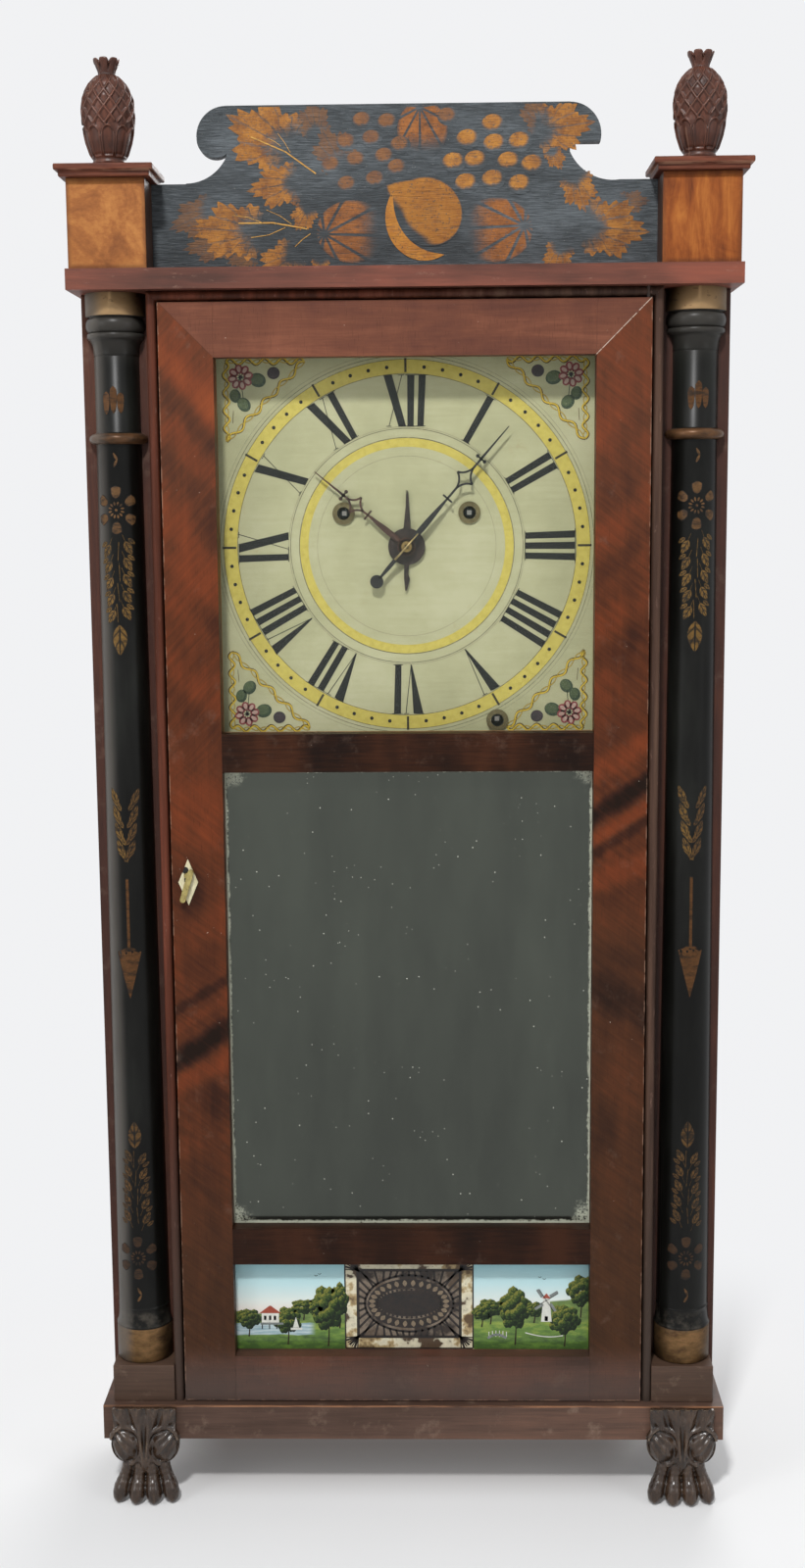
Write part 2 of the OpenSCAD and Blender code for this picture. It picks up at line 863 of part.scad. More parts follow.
// Steel arbor through the centre, with its pinion behind the dial and a brass collet in front
module centre_arbor() {
    color(steel) {
        rod([0, dial_z], centre_r, [d_minute_hand - 2, d_space]);
        slab(d_minute_wheel)
            translate([0, dial_z])
                rotate(minute_dir)
                    gear(12, minute_m);
    }
    color(brass)
        difference() {
            rod([0, dial_z], 5.3, [d_minute_hand - 0.9, d_minute_hand]);
            rod([0, dial_z], centre_r, [d_minute_hand - 1, d_minute_hand + 1]);
        }
}

module hour_wheel() {
    color(cherry)
        difference() {
            union() {
                slab(d_hour_wheel)
                    translate([0, dial_z])
                        rotate(minute_dir + 180 / 40)
                            gear(40, hour_m);
                rod([0, dial_z], hour_pipe_r, [d_hour_hand, d_hour_wheel[0]]);
            }
            rod([0, dial_z], centre_r + play, [d_hour_hand - 1, d_hour_wheel[1] + 1]);
        }
}

module minute_wheel() {
    color(cherry)
        difference() {
            union() {
                slab(d_minute_wheel)
                    translate(minute_place)
                        rotate(minute_dir + 180 + 180 / 36)
                            gear(36, minute_m);
                slab([d_hour_wheel[0] - 0.4, d_minute_wheel[0]])
                    translate(minute_place)
                        rotate(minute_dir + 180)
                            gear(10, hour_m);
            }
            rod(minute_place, stud_r + play, [d_hour_wheel[0] - 1, d_minute_wheel[1] + 1]);
        }
}

// Disc with a pointer that sets the alarm, held on the hour pipe by friction
module alarm_disc() {
    color("#3a2c26")
        slab([d_alarm_disc, d_alarm_disc + 1])
            translate([0, dial_z])
                difference() {
                    union() {
                        circle(r = alarm_disc_r);
                        polygon([[-2.4, 10], [2.4, 10], [0.6, 22], [0.2, 36.7], [-0.2, 36.7], [-0.6, 22]]);
                        polygon([[-1.8, -10], [1.8, -10], [0.8, -18], [2, -21], [0, -29], [-2, -21],
                                 [-0.8, -18]]);
                    }
                    circle(r = hour_pipe_r + play);
                }
}

// Movement

// A toothed wheel with a tooth on the +X side. Wheels have pointed teeth, pinions round leaves.
module gear(n, m) {
    rp = m * n / 2;
    small = n <= 12;
    half = (small ? 30 : 36) / n * 2;
    top = rp + m * (small ? 0.55 : 0.85);
    root = rp - m * (small ? 1.3 : 0.9);
    polygon([for (i = [0:n - 1], p = [[root, -1], [rp, -1], [top, small ? -0.5 : -0.25],
                                      [top, small ? 0.5 : 0.25], [rp, 1], [root, 1]])
        polar([0, 0], p[0], 360 / n * i + half * p[1])]);
}

// Wheel with four crossings cut out
module crossed_wheel(n, m) {
    rim = m * n / 2 - 1.3 * m - 4;
    difference() {
        gear(n, m);
        for (i = [0:3])
            rotate(90 * i + 45)
                translate([(rim + 6) / 2, 0])
                    circle(r = (rim - 6) / 2);
    }
}

// Wooden arbor with a steel pivot at each end
module arbor(p) {
    rod(p, arbor_r, [d_space + 0.5, d_back_plate - 0.5]);
    rod(p, pivot_r, [d_front_plate + 1, d_rails - 1]);
}

module pillar_places() {
    for (x = [-1, 1], z = [dial_z - plate_down + 10, dial_z + plate_up - 12])
        translate([x * (plate_w / 2 - 9), z])
            children();
}

module front_plate() {
    color(cherry)
        difference() {
            slab([d_front_plate, d_space])
                plate_outline();
            for (p = pivots)
                rod(p, pivot_r + play, [d_front_plate - 1, d_space + 1]);
            for (p = winders)
                rod(p, wind_r + play, [d_front_plate - 1, d_space + 1]);
            rod(verge_place, arbor_r + play, [d_front_plate - 1, d_space + 1]);
            rod([0, dial_z], centre_r + play, [d_front_plate - 1, d_space + 1]);
        }
    // slit post for the pendulum, and wire stud for the minute wheel
    color(steel) {
        difference() {
            rod(post_place, post_r, [d_pendulum - 3, d_front_plate]);
            block([pendulum_x - 0.8, pendulum_x + 0.8], [d_pendulum - 4, d_pendulum + 4],
                  [post_place[1] - post_r - 1, hang_z + 0.3]);
        }
        rod(minute_place, stud_r, [d_hour_wheel[0] - 1.2, d_front_plate]);
    }
}

module plate_outline() {
    translate([-plate_w / 2, dial_z - plate_down])
        square([plate_w, plate_down + plate_up]);
}

// Back plate, with the four pillars that hold the front plate off it
module back_plate() {
    color(cherry) {
        difference() {
            slab([d_back_plate, d_rails])
                plate_outline();
            for (p = pivots)
                rod(p, pivot_r + play, [d_back_plate - 1, d_rails + 1]);
            for (p = winders)
                rod(p, pivot_r + play, [d_back_plate - 1, d_rails + 1]);
            rod(verge_place, pivot_r + play, [d_back_plate - 1, d_rails + 1]);
        }
        slab([d_space, d_back_plate])
            pillar_places()
                circle(r = 5);
    }
}

// Winding drum with flanges, on an arbor that ends in a square behind the dial's hole
module drum(p) {
    rod(p, wind_r, [d_front_plate - 8, d_great[1] + 2]);
    rod(p, pivot_r, [d_great[1] + 1, d_rails - 1]);
    slab([d_inside + 1.2, d_front_plate - 8])
        translate(p)
            rotate(12)
                square(wind_r * 1.36, center = true);
    rod(p, drum_cord_r - cord_r - seat, d_drum);
    for (d = [d_drum[0], d_drum[1] - 1.5])
        rod(p, drum_cord_r + 2, [d, d + 1.5]);
}

module time_drum() {
    color(cherry)
        drum(time_first);
}

module strike_drum() {
    color(cherry)
        drum(strike_first);
}

// Great wheel, loose on the winding arbor and driven by a click
module great_wheel(p, q) {
    difference() {
        slab(d_great)
            translate(p)
                rotate(heading(p, q))
                    crossed_wheel(wheel_teeth, great_m);
        rod(p, wind_r + play, [d_great[0] - 1, d_great[1] + 1]);
    }
}

module time_great_wheel() {
    color(cherry)
        great_wheel(time_first, time_second);
}

module strike_great_wheel() {
    color(cherry)
        great_wheel(strike_first, strike_second);
}

// Arbor p with a pinion driven from arbor a and a wheel that drives arbor b
module train_wheel(p, a, b, n, pinion_m, pinion_d, wheel_m, wheel_d) {
    arbor(p);
    slab(pinion_d)
        translate(p)
            rotate(heading(p, a) + 180 / leaves)
                gear(leaves, pinion_m);
    slab(wheel_d)
        translate(p)
            rotate(heading(p, b))
                crossed_wheel(n, wheel_m);
}

module time_second_wheel() {
    color(cherry)
        train_wheel(time_second, time_first, time_third, wheel_teeth, great_m,
                    d_great + [-1, 1], train_m, d_second);
}

module strike_second_wheel() {
    color(cherry)
        train_wheel(strike_second, strike_first, fly_place, wheel_teeth, great_m,
                    d_great + [-1, 1], train_m, d_second);
}

module time_third_wheel() {
    color(cherry)
        train_wheel(time_third, time_second, escape_place, third_teeth, train_m,
                    d_second + [-1, 1], train_m, d_third);
}

module escape_wheel() {
    color(cherry) {
        arbor(escape_place);
        slab(d_third + [-1, 1])
            translate(escape_place)
                rotate(heading(escape_place, time_third) + 180 / leaves)
                    gear(leaves, train_m);
    }
    color(brass)
        slab(d_escape)
            translate(escape_place)
                difference() {
                    polygon([for (i = [0:escape_teeth - 1], p = [[escape_r - 3, 0], [escape_r, 0.25],
                                                                 [escape_r - 3, 0.75]])
                        polar([0, 0], p[0], 360 / escape_teeth * (i + p[1]))]);
                    for (i = [0:3])
                        rotate(90 * i + 45)
                            translate([10.2, 0])
                                circle(r = 4.4);
                }
}

// Verge over the escape wheel, with the crutch that guides the pendulum rod
module verge() {
    fork_x = verge_place[0];
    fork_z = verge_place[1] - crutch_len;
    color(steel) {
        rod(verge_place, arbor_r, [d_crutch - 1, d_back_plate - 0.5]);
        rod(verge_place, pivot_r, [d_back_plate - 1, d_rails - 1]);
        slab(d_escape) {
            translate(escape_place)
                intersection() {
                    difference() {
                        circle(r = escape_r + 4.4);
                        circle(r = escape_r + 1.6);
                    }
                    polygon([[0, 0], [40 * cos(50), 40 * sin(50)], [0, 60],
                             [-40 * cos(50), 40 * sin(50)]]);
                }
            translate(verge_place)
                circle(r = 3.4);
        }
        translate([fork_x, face_y + d_crutch, fork_z])
            cylinder(r = 0.9, h = crutch_len);
        difference() {
            block([fork_x - 2.6, fork_x + 2.6], [d_pendulum - 2.2, d_crutch + 0.9],
                  [fork_z - 0.8, fork_z + 0.8]);
            block([fork_x - 1.7, fork_x + 1.7], [d_pendulum - 3, d_pendulum + 2],
                  [fork_z - 1, fork_z + 1]);
        }
    }
}

// Wire rod with a flat spring at the head and a lens-shaped bob
module pendulum() {
    head = hang_z;
    bob_z = head - pendulum_len;
    color(steel) {
        translate([pendulum_x - 0.2, face_y + d_pendulum - 2.2, head - 22])
            cube([0.4, 4.4, 22]);
        translate([pendulum_x, face_y + d_pendulum, bob_z])
            cylinder(r = 0.9, h = pendulum_len - 20);
    }
    color(brass)
        translate([pendulum_x, face_y + d_pendulum, bob_z])
            rotate([90, 0, 0])
                rotate_extrude()
                    polygon([[0, -4.5], [bob_r * 0.55, -3.6], [bob_r * 0.9, -1.4], [bob_r, 0],
                             [bob_r * 0.9, 1.4], [bob_r * 0.55, 3.6], [0, 4.5]]);
}

// Two-vane air brake of the strike
module fly() {
    color(cherry) {
        arbor(fly_place);
        slab(d_second + [-1, 1])
            translate(fly_place)
                rotate(heading(fly_place, strike_second) + 180 / leaves)
                    gear(leaves, train_m);
        slab([d_space + 10, d_great[0] - 4])
            translate(fly_place)
                square([36, 1.6], center = true);
    }
}

// Strike hammer on its own arbor, resting just off the bell
module hammer() {
    head = [-bell_r - 8.6, dial_z - bell_down];
    color(steel) {
        rod(hammer_place, arbor_r, [d_space + 0.5, d_back_plate - 0.5]);
        rod(hammer_place, pivot_r, [d_front_plate + 1, d_rails - 1]);
        bar(hammer_place, head, 1.2, cord_d);
    }
    color(iron)
        hammer_head(head);
}

module hammer_head(p) {
    translate([p[0] - 7, face_y + cord_d, p[1]])
        rotate([0, 90, 0])
            cylinder(r = 5, h = 14);
}

// Round bar from one place to another in a plane of constant depth
module bar(p, q, r, d, sides = 48) {
    translate([p[0], face_y + d, p[1]])
        rotate([0, 90 - heading(p, q), 0])
            cylinder(r = r, h = norm(q - p), $fn = sides);
}

// Bell and the post that holds it to the back board
module bell() {
    w = 1.8;
    color(brass)
        translate([0, face_y + d_bell, dial_z - bell_down])
            rotate([-90, 0, 0])
                rotate_extrude()
                    polygon([[3, 20], [bell_r - 10, 17.5], [bell_r - 3, 10], [bell_r, 0],
                             [bell_r - w, 0], [bell_r - 3 - w, 9.3], [bell_r - 10.6, 15.8],
                             [3, 18.2]]);
    color(iron)
        rod([0, dial_z - bell_down], 3, [d_bell + 15, d_back]);
}

// Weights, pulleys and cords

module weight(x, d, r, h) {
    translate([x, face_y + d, base_top + weight_clear]) {
        rotate_extrude()
            polygon([[0, 0], [r - 2, 0], [r, 2], [r, h - 8], [r - 6, h - 2], [5, h], [0, h]]);
        cylinder(r = 1.6, h = h + hook_h - 1);
        translate([0, 0, h + hook_h - 2])
            sphere(r = 3, $fn = 24);
    }
}

module time_weight() {
    color(iron)
        weight(drop_x, cord_d, weight_r, weight_h);
}

module strike_weight() {
    color(iron)
        mirror([1, 0, 0])
            weight(drop_x, cord_d, weight_r, weight_h);
}

module alarm_weight() {
    color(iron)
        weight(alarm_x + drum_cord_r, alarm_cord_d, alarm_weight_r, alarm_weight_h);
}

// Turned pulley with a wire axle in the top board
module pulley(x) {
    h = pulley_w / 2;
    groove = pulley_cord_r - cord_r - seat;
    color(cherry)
        translate([x, face_y + cord_d, pulley_z])
            rotate([-90, 0, 0])
                rotate_extrude()
                    polygon([[0, -h], [pulley_r, -h], [pulley_r, -h + 0.8], [groove, -cord_r - seat],
                             [groove, cord_r + seat], [pulley_r, h - 0.8], [pulley_r, h], [0, h]]);
    color(steel)
        rod([x, pulley_z], pulley_axle_r, [cord_d - pulley_axle_h, cord_d + pulley_axle_h]);
}

module time_pulley() {
    pulley(pulley_x);
}

module strike_pulley() {
    pulley(-pulley_x);
}

// Each cord from its drum over its pulley, as far as where it starts to hang
module cord_runs() {
    a = heading(time_first, pulley_place);
    lean = asin((pulley_cord_r - drum_cord_r) / norm(pulley_place - time_first));
    up = a + 90 + lean;
    from = polar(time_first, drum_cord_r, up);
    to = polar(pulley_place, pulley_cord_r, up);
    color(bone)
        both_sides() {
            bar(from, to, cord_r, cord_d, cord_sides);
            turn_of_cord(pulley_place, pulley_cord_r, 0, up);
            turn_of_cord(time_first, drum_cord_r, up, 120);
        }
}

// An arc of cord around p from angle a, through the angle b
module turn_of_cord(p, r, a, b) {
    translate([p[0], face_y + cord_d, p[1]])
        rotate([90, 0, 0])
            rotate([0, 0, a])
                rotate_extrude(angle = b, $fn = 64)
                    translate([r, 0])
                        circle(r = cord_r, $fn = cord_sides);
}

// The hanging stretch of a cord, from the height z down to its weight
module drop(x, d, z, h) {
    foot = base_top + weight_clear + h + hook_h + 1;
    color(bone)
        translate([x, face_y + d, foot])
            cylinder(r = cord_r, h = z - foot - 0.05, $fn = cord_sides);
}

module time_cord() {
    drop(drop_x, cord_d, pulley_z, weight_h);
}

module strike_cord() {
    drop(-drop_x, cord_d, pulley_z, weight_h);
}

module alarm_cord() {
    drop(alarm_x + drum_cord_r, alarm_cord_d, dial_z - alarm_down, alarm_weight_h);
}

// Alarm

// Wooden frame of the alarm on the back board, with three pillars
module alarm_frame() {
    w = [alarm_x - 27, alarm_x + 22];
    z = [alarm_place[1] - 24, alarm_place[1] + 40];
    front = d_alarm_front;
    back = d_alarm_back;
    color(cherry) {
        difference() {
            union() {
                block(w, [front - 4, front], z);
                block(w, [back, d_back], z);
            }
            rod(alarm_place, wind_r + play, [front - 5, front + 1]);
            rod(alarm_place, pivot_r + play, [back - 1, back + 5]);
            rod(alarm_pivot, pivot_r + play, [front - 5, front + 1]);
            rod(alarm_pivot, pivot_r + play, [back - 1, back + 5]);
        }
        for (p = [[w[0] + 4, z[0] + 4], [w[1] - 4, z[0] + 4], [w[1] - 4, z[1] - 4]])
            rod(p, 2.5, [front, back]);
    }
}

// Drum with its toothed wheel and winding arbor
module alarm_drum() {
    d = [alarm_cord_d - 5, alarm_cord_d + 5];
    color(cherry) {
        rod(alarm_place, wind_r, [d_front_plate - 8, d_alarm_back - 0.4]);
        rod(alarm_place, pivot_r, [d_alarm_back - 1, d_alarm_back + 4]);
        rod(alarm_place, drum_cord_r - cord_r - seat, d);
        rod(alarm_place, drum_cord_r + 2, [d[0], d[0] + 1.5]);
        slab([d[1] - 2, d[1]])
            translate(alarm_place)
                gear(24, 1.4);
    }
    color(steel)
        slab([d_inside + 1.2, d_front_plate - 8])
            translate(alarm_place)
                rotate(20)
                    square(wind_r * 1.36, center = true);
}

module alarm_hammer() {
    head = [bell_r + 8.6, dial_z - bell_down];
    color(steel) {
        rod(alarm_pivot, 1.8, [d_alarm_front + 0.4, d_alarm_back - 0.4]);
        rod(alarm_pivot, pivot_r, [d_alarm_front - 3, d_alarm_back + 4]);
        bar(alarm_pivot, head, 1.2, cord_d);
    }
    color(iron)
        hammer_head(head);
}

// Places that several pieces share
pedestal_d0 = -4.2;
d_glass = door_t - rebate_d;

key_x = lock_in - door_half;
key_z = door_z0 + lock_z + 5;
key_r = 1.5;
plate_proud = 0.8;
lock_x = [key_x - 7, key_x + 14];
lock_half = 20;
lock_d = door_t - 11;
bolt_d = [lock_d + 3, lock_d + 8];
bolt_z = [-12, -2];

pin_r = 1.1;
hinge_x = door_half - 2.6;
hinge_y = face_y + 1.6;

hour_pipe_r = 4;
centre_r = 2.4;
hand_t = 0.8;
d_alarm_disc = d_dial - 2.4;
d_hour_hand = d_alarm_disc - 2;
d_minute_hand = d_hour_hand - 2.4;
minute_m = 0.75;
hour_m = minute_m * 48 / 50;
minute_dir = 200;
minute_place = polar([0, dial_z], 24 * minute_m, minute_dir);
stud_r = 1.5;
d_minute_wheel = [d_front_plate - 3.5, d_front_plate - 1];
d_hour_wheel = [d_front_plate - 7, d_front_plate - 4.5];

grommet_r = 7.3;
grommet_neck = 6;
grommet_bore = 4.2;
winding_places = [[-wind_x, wind_z], [wind_x, wind_z], [alarm_x, -alarm_down]];

great_m = 1.25;
train_m = 1;
great_reach = great_m * (wheel_teeth + leaves) / 2;
second_reach = train_m * (wheel_teeth + leaves) / 2;
third_reach = train_m * (third_teeth + leaves) / 2;
time_first = [wind_x, dial_z + wind_z];
time_second = polar(time_first, great_reach, 100);
escape_place = [pendulum_x, dial_z + 95];
time_third = meet(time_second, second_reach, escape_place, third_reach);
verge_place = escape_place + [0, escape_r + 4];
strike_first = [-wind_x, dial_z + wind_z];
strike_second = polar(strike_first, great_reach, 80);
fly_place = polar(strike_second, second_reach, 115);
hammer_place = [-36, dial_z - 45];
pivots = [time_second, time_third, escape_place, strike_second, fly_place, hammer_place];
winders = [time_first, strike_first];

d_second = [d_space + 3, d_space + 6];
d_escape = [d_space + 9.5, d_space + 11];
d_great = [d_back_plate - 7, d_back_plate - 3];
d_third = [d_back_plate - 15, d_back_plate - 12];
cord_d = d_space + 18;
d_drum = [cord_d - 9, cord_d + 9];
d_pendulum = d_inside + 6;
d_crutch = d_front_plate - 3.5;
crutch_len = 45;
post_r = 3;
post_place = [pendulum_x, verge_place[1] + 6];
hang_z = post_place[1] + 1.5;

pulley_w = 7;
pulley_axle_r = 1.5;
pulley_axle_h = 10;
pulley_z = top_z + top_t / 2;
pulley_place = [pulley_x, pulley_z];
slot_in = 34;
cord_sides = 8;
drop_x = pulley_x + pulley_cord_r;
hook_h = 14;

d_bell = cord_d - 3;
d_alarm_front = cord_d - 6;
d_alarm_back = d_back - 9;
alarm_cord_d = cord_d + 11.5;
alarm_place = [alarm_x, dial_z - alarm_down];
alarm_pivot = alarm_place + [-22, 33];

base_box();
side_boards();
back_board();
front_frame();
top_board();
door_bead();
plinth_blocks();
half_columns();
splat();
pedestals();
pedestal_caps();
finials();
front_feet();
rear_feet();
dial_board();
inner_strips();
winding_grommets();
door_frame();
door_glass();
mirror_glass();
tablet_glass();
door_backing();
keyhole_plate();
door_lock();
lock_bolt();
door_key();
hinge_pins();
hour_hand();
minute_hand();
centre_arbor();
hour_wheel();
minute_wheel();
alarm_disc();
front_plate();
back_plate();
time_drum();
time_great_wheel();
time_second_wheel();
time_third_wheel();
escape_wheel();
verge();
pendulum();
strike_drum();
strike_great_wheel();
strike_second_wheel();
fly();
hammer();
bell();
time_weight();
strike_weight();
time_pulley();
strike_pulley();
cord_runs();
time_cord();
strike_cord();
alarm_frame();
alarm_drum();
alarm_hammer();
alarm_weight();
alarm_cord();
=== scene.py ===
import math

import bmesh
import bpy
from mathutils import Matrix, Vector


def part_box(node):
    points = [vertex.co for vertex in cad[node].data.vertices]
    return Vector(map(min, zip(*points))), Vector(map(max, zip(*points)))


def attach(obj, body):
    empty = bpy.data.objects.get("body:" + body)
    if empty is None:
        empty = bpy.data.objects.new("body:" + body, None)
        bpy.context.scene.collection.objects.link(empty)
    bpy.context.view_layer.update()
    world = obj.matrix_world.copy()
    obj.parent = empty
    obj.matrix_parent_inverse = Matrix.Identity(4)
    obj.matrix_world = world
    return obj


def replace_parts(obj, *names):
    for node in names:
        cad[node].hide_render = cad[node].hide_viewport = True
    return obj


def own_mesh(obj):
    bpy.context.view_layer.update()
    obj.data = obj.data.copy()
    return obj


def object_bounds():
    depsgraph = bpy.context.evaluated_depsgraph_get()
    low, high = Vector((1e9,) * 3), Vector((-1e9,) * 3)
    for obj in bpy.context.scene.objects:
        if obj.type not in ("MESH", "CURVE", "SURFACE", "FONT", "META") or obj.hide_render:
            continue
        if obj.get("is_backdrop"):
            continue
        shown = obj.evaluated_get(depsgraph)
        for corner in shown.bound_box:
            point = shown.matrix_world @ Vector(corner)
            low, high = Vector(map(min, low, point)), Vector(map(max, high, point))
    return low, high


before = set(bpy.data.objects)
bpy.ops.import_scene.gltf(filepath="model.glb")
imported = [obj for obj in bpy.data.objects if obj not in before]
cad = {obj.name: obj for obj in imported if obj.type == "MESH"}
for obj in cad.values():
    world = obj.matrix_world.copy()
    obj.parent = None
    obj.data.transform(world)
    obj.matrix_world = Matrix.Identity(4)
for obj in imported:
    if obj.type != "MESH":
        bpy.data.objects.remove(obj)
cad_low, cad_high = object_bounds()

# Camera, light and floor
# The camera stands about 1.2 m in front of the door, a little to the right, and looks
# slightly down. A small lamp above it throws the shadow of the door's top rail on the dial.
# Lengths are in millimetres, and FACE is where the door's front lies along Y.
MM = 0.001
FACE = -47.0
EVEN = (1, 1, 1)
BACKDROP = (0.88, 0.885, 0.90, 1)
# Where the floor's painted shade under the case fades out: to the sides, to the front and to the back
SHADE_SIDES, SHADE_FRONT, SHADE_BACK = (212, 130), (-62, 25), (95, 60)
CASE_HALF = (220, 60)
FLOOR_FADES = (-60, 330)
CAMERA_PLACE = Vector((22.2, -1252.5, 677.2))
PITCH, YAW, ROLL = 8.446, -1.218, -0.458


def show(name, data):
    """A new object of the scene around its data."""
    o = bpy.data.objects.new(name, data)
    bpy.context.scene.collection.objects.link(o)
    return o


def camera_axes(pitch, yaw, roll):
    """Right, up and backward directions of a camera that looks along +Y when level."""
    p, y, r = (math.radians(a) for a in (pitch, yaw, roll))
    ahead = Vector((math.sin(y) * math.cos(p), math.cos(y) * math.cos(p), -math.sin(p)))
    level = Vector((math.cos(y), -math.sin(y), 0))
    above = level.cross(ahead)
    right = math.cos(r) * level + math.sin(r) * above
    up = math.cos(r) * above - math.sin(r) * level
    return right, up, -ahead


lens = bpy.data.cameras.new("camera")
lens.sensor_fit = "VERTICAL"
lens.sensor_height = 36
lens.lens = 42.75
lens.clip_start = 0.05
camera = show("camera", lens)
camera.matrix_world = Matrix.Translation(CAMERA_PLACE * MM) @ Matrix(
    camera_axes(PITCH, YAW, ROLL)).transposed().to_4x4()
bpy.context.scene.camera = camera
bpy.context.scene.view_settings.view_transform = "Standard"


def softbox(name, place, aim, width, height, power):
    """An area lamp at a place, turned towards another, that no camera sees."""
    lamp = bpy.data.lights.new(name, "AREA")
    lamp.shape = "RECTANGLE"
    lamp.size = width
    lamp.size_y = height
    lamp.energy = power
    o = show(name, lamp)
    o.location = place
    o.rotation_euler = (Vector(aim) - Vector(place)).to_track_quat("-Z", "Y").to_euler()
    o.visible_camera = False


softbox("key", (-0.31, -1.87, 2.47), (0, 0, 0.65), 0.22, 0.22, 57)
softbox("window", (-1.9, -1.6, 1.3), (0, 0, 0.5), 0.8, 1.5, 13)
softbox("second_window", (1.9, -1.5, 1.2), (0, 0, 0.5), 0.6, 1.5, 7)
softbox("back_light", (0.6, 2.2, 1.6), (0, 0, 0.5), 1.2, 1.2, 32)


def new_piece(name, bm, material, smooth=True):
    """A finished mesh as an object of the scene."""
    mesh = bpy.data.meshes.new(name)
    bm.to_mesh(mesh)
    bm.free()
    mesh.materials.append(material)
    for polygon in mesh.polygons:
        polygon.use_smooth = smooth
    return show(name, mesh)


class Wire:
    """One output of a shader node. Sums, products and powers add Math nodes."""

    def __init__(self, nodes, socket):
        self.nodes = nodes
        self.socket = socket

    def math(self, operation, *others):
        return self.nodes.add("Math", {"operation": operation}, dict(enumerate((self,) + others)))

    def __add__(self, other):
        return self.math("ADD", other)

    def __sub__(self, other):
        return self.math("SUBTRACT", other)

    def __rsub__(self, other):
        return self * -1 + other

    def __mul__(self, other):
        return self.math("MULTIPLY", other)

    def __pow__(self, other):
        return self.math("POWER", other)

    def __abs__(self):
        return self.math("ABSOLUTE")

    __radd__ = __add__
    __rmul__ = __mul__

    def least(self, other):
        return self.math("MINIMUM", other)

    def most(self, other):
        return self.math("MAXIMUM", other)

    def apart(self, other):
        """The root of the sum of both squares: how far the place of the two lies from 0."""
        return (self * self + other * other) ** 0.5

    def rise(self, low, high):
        """0 below low, 1 above high, smooth between. Low may be the larger of the two."""
        return self.nodes.add(
            "MapRange", {"interpolation_type": "SMOOTHSTEP"},
            {"Value": self, "From Min": min(low, high), "From Max": max(low, high),
             "To Min": float(low > high), "To Max": float(low < high)})


def tint(code):
    """A colour written as in a paint box, as the linear colour of a shader."""
    parts = [int(code[i:i + 2], 16) / 255 for i in (0, 2, 4)]
    return [c / 12.92 if c < 0.04045 else ((c + 0.055) / 1.055) ** 2.4 for c in parts] + [1.0]


class Nodes:
    """A tree of shader nodes."""

    def __init__(self, tree):
        self.tree = tree

    def add(self, kind, settings=None, inputs=None, output=0):
        """A new node with its settings and inputs made, as the wire of one output."""
        n = self.tree.nodes.new("ShaderNode" + kind)
        for key, value in (settings or {}).items():
            if key == "stops":
                ramp = n.color_ramp.elements
                while len(ramp) < len(value):
                    ramp.new(0.5)
                for element, (position, colour) in zip(ramp, value):
                    element.position = position
                    element.color = tint(colour)
            else:
                setattr(n, key, value)
        for key, value in (inputs or {}).items():
            if isinstance(value, Wire):
                self.tree.links.new(value.socket, n.inputs[key])
            else:
                n.inputs[key].default_value = value
        return Wire(self, n.outputs[output]) if n.outputs else None

    def backdrop_rays(self):
        """1 for the rays that see the backdrop: the camera's, through glass and mirrored."""
        camera_ray, through, mirrored = (
            self.add("LightPath", output="Is " + kind + " Ray")
            for kind in ("Camera", "Transmission", "Glossy"))
        return camera_ray.most(through).most(mirrored)


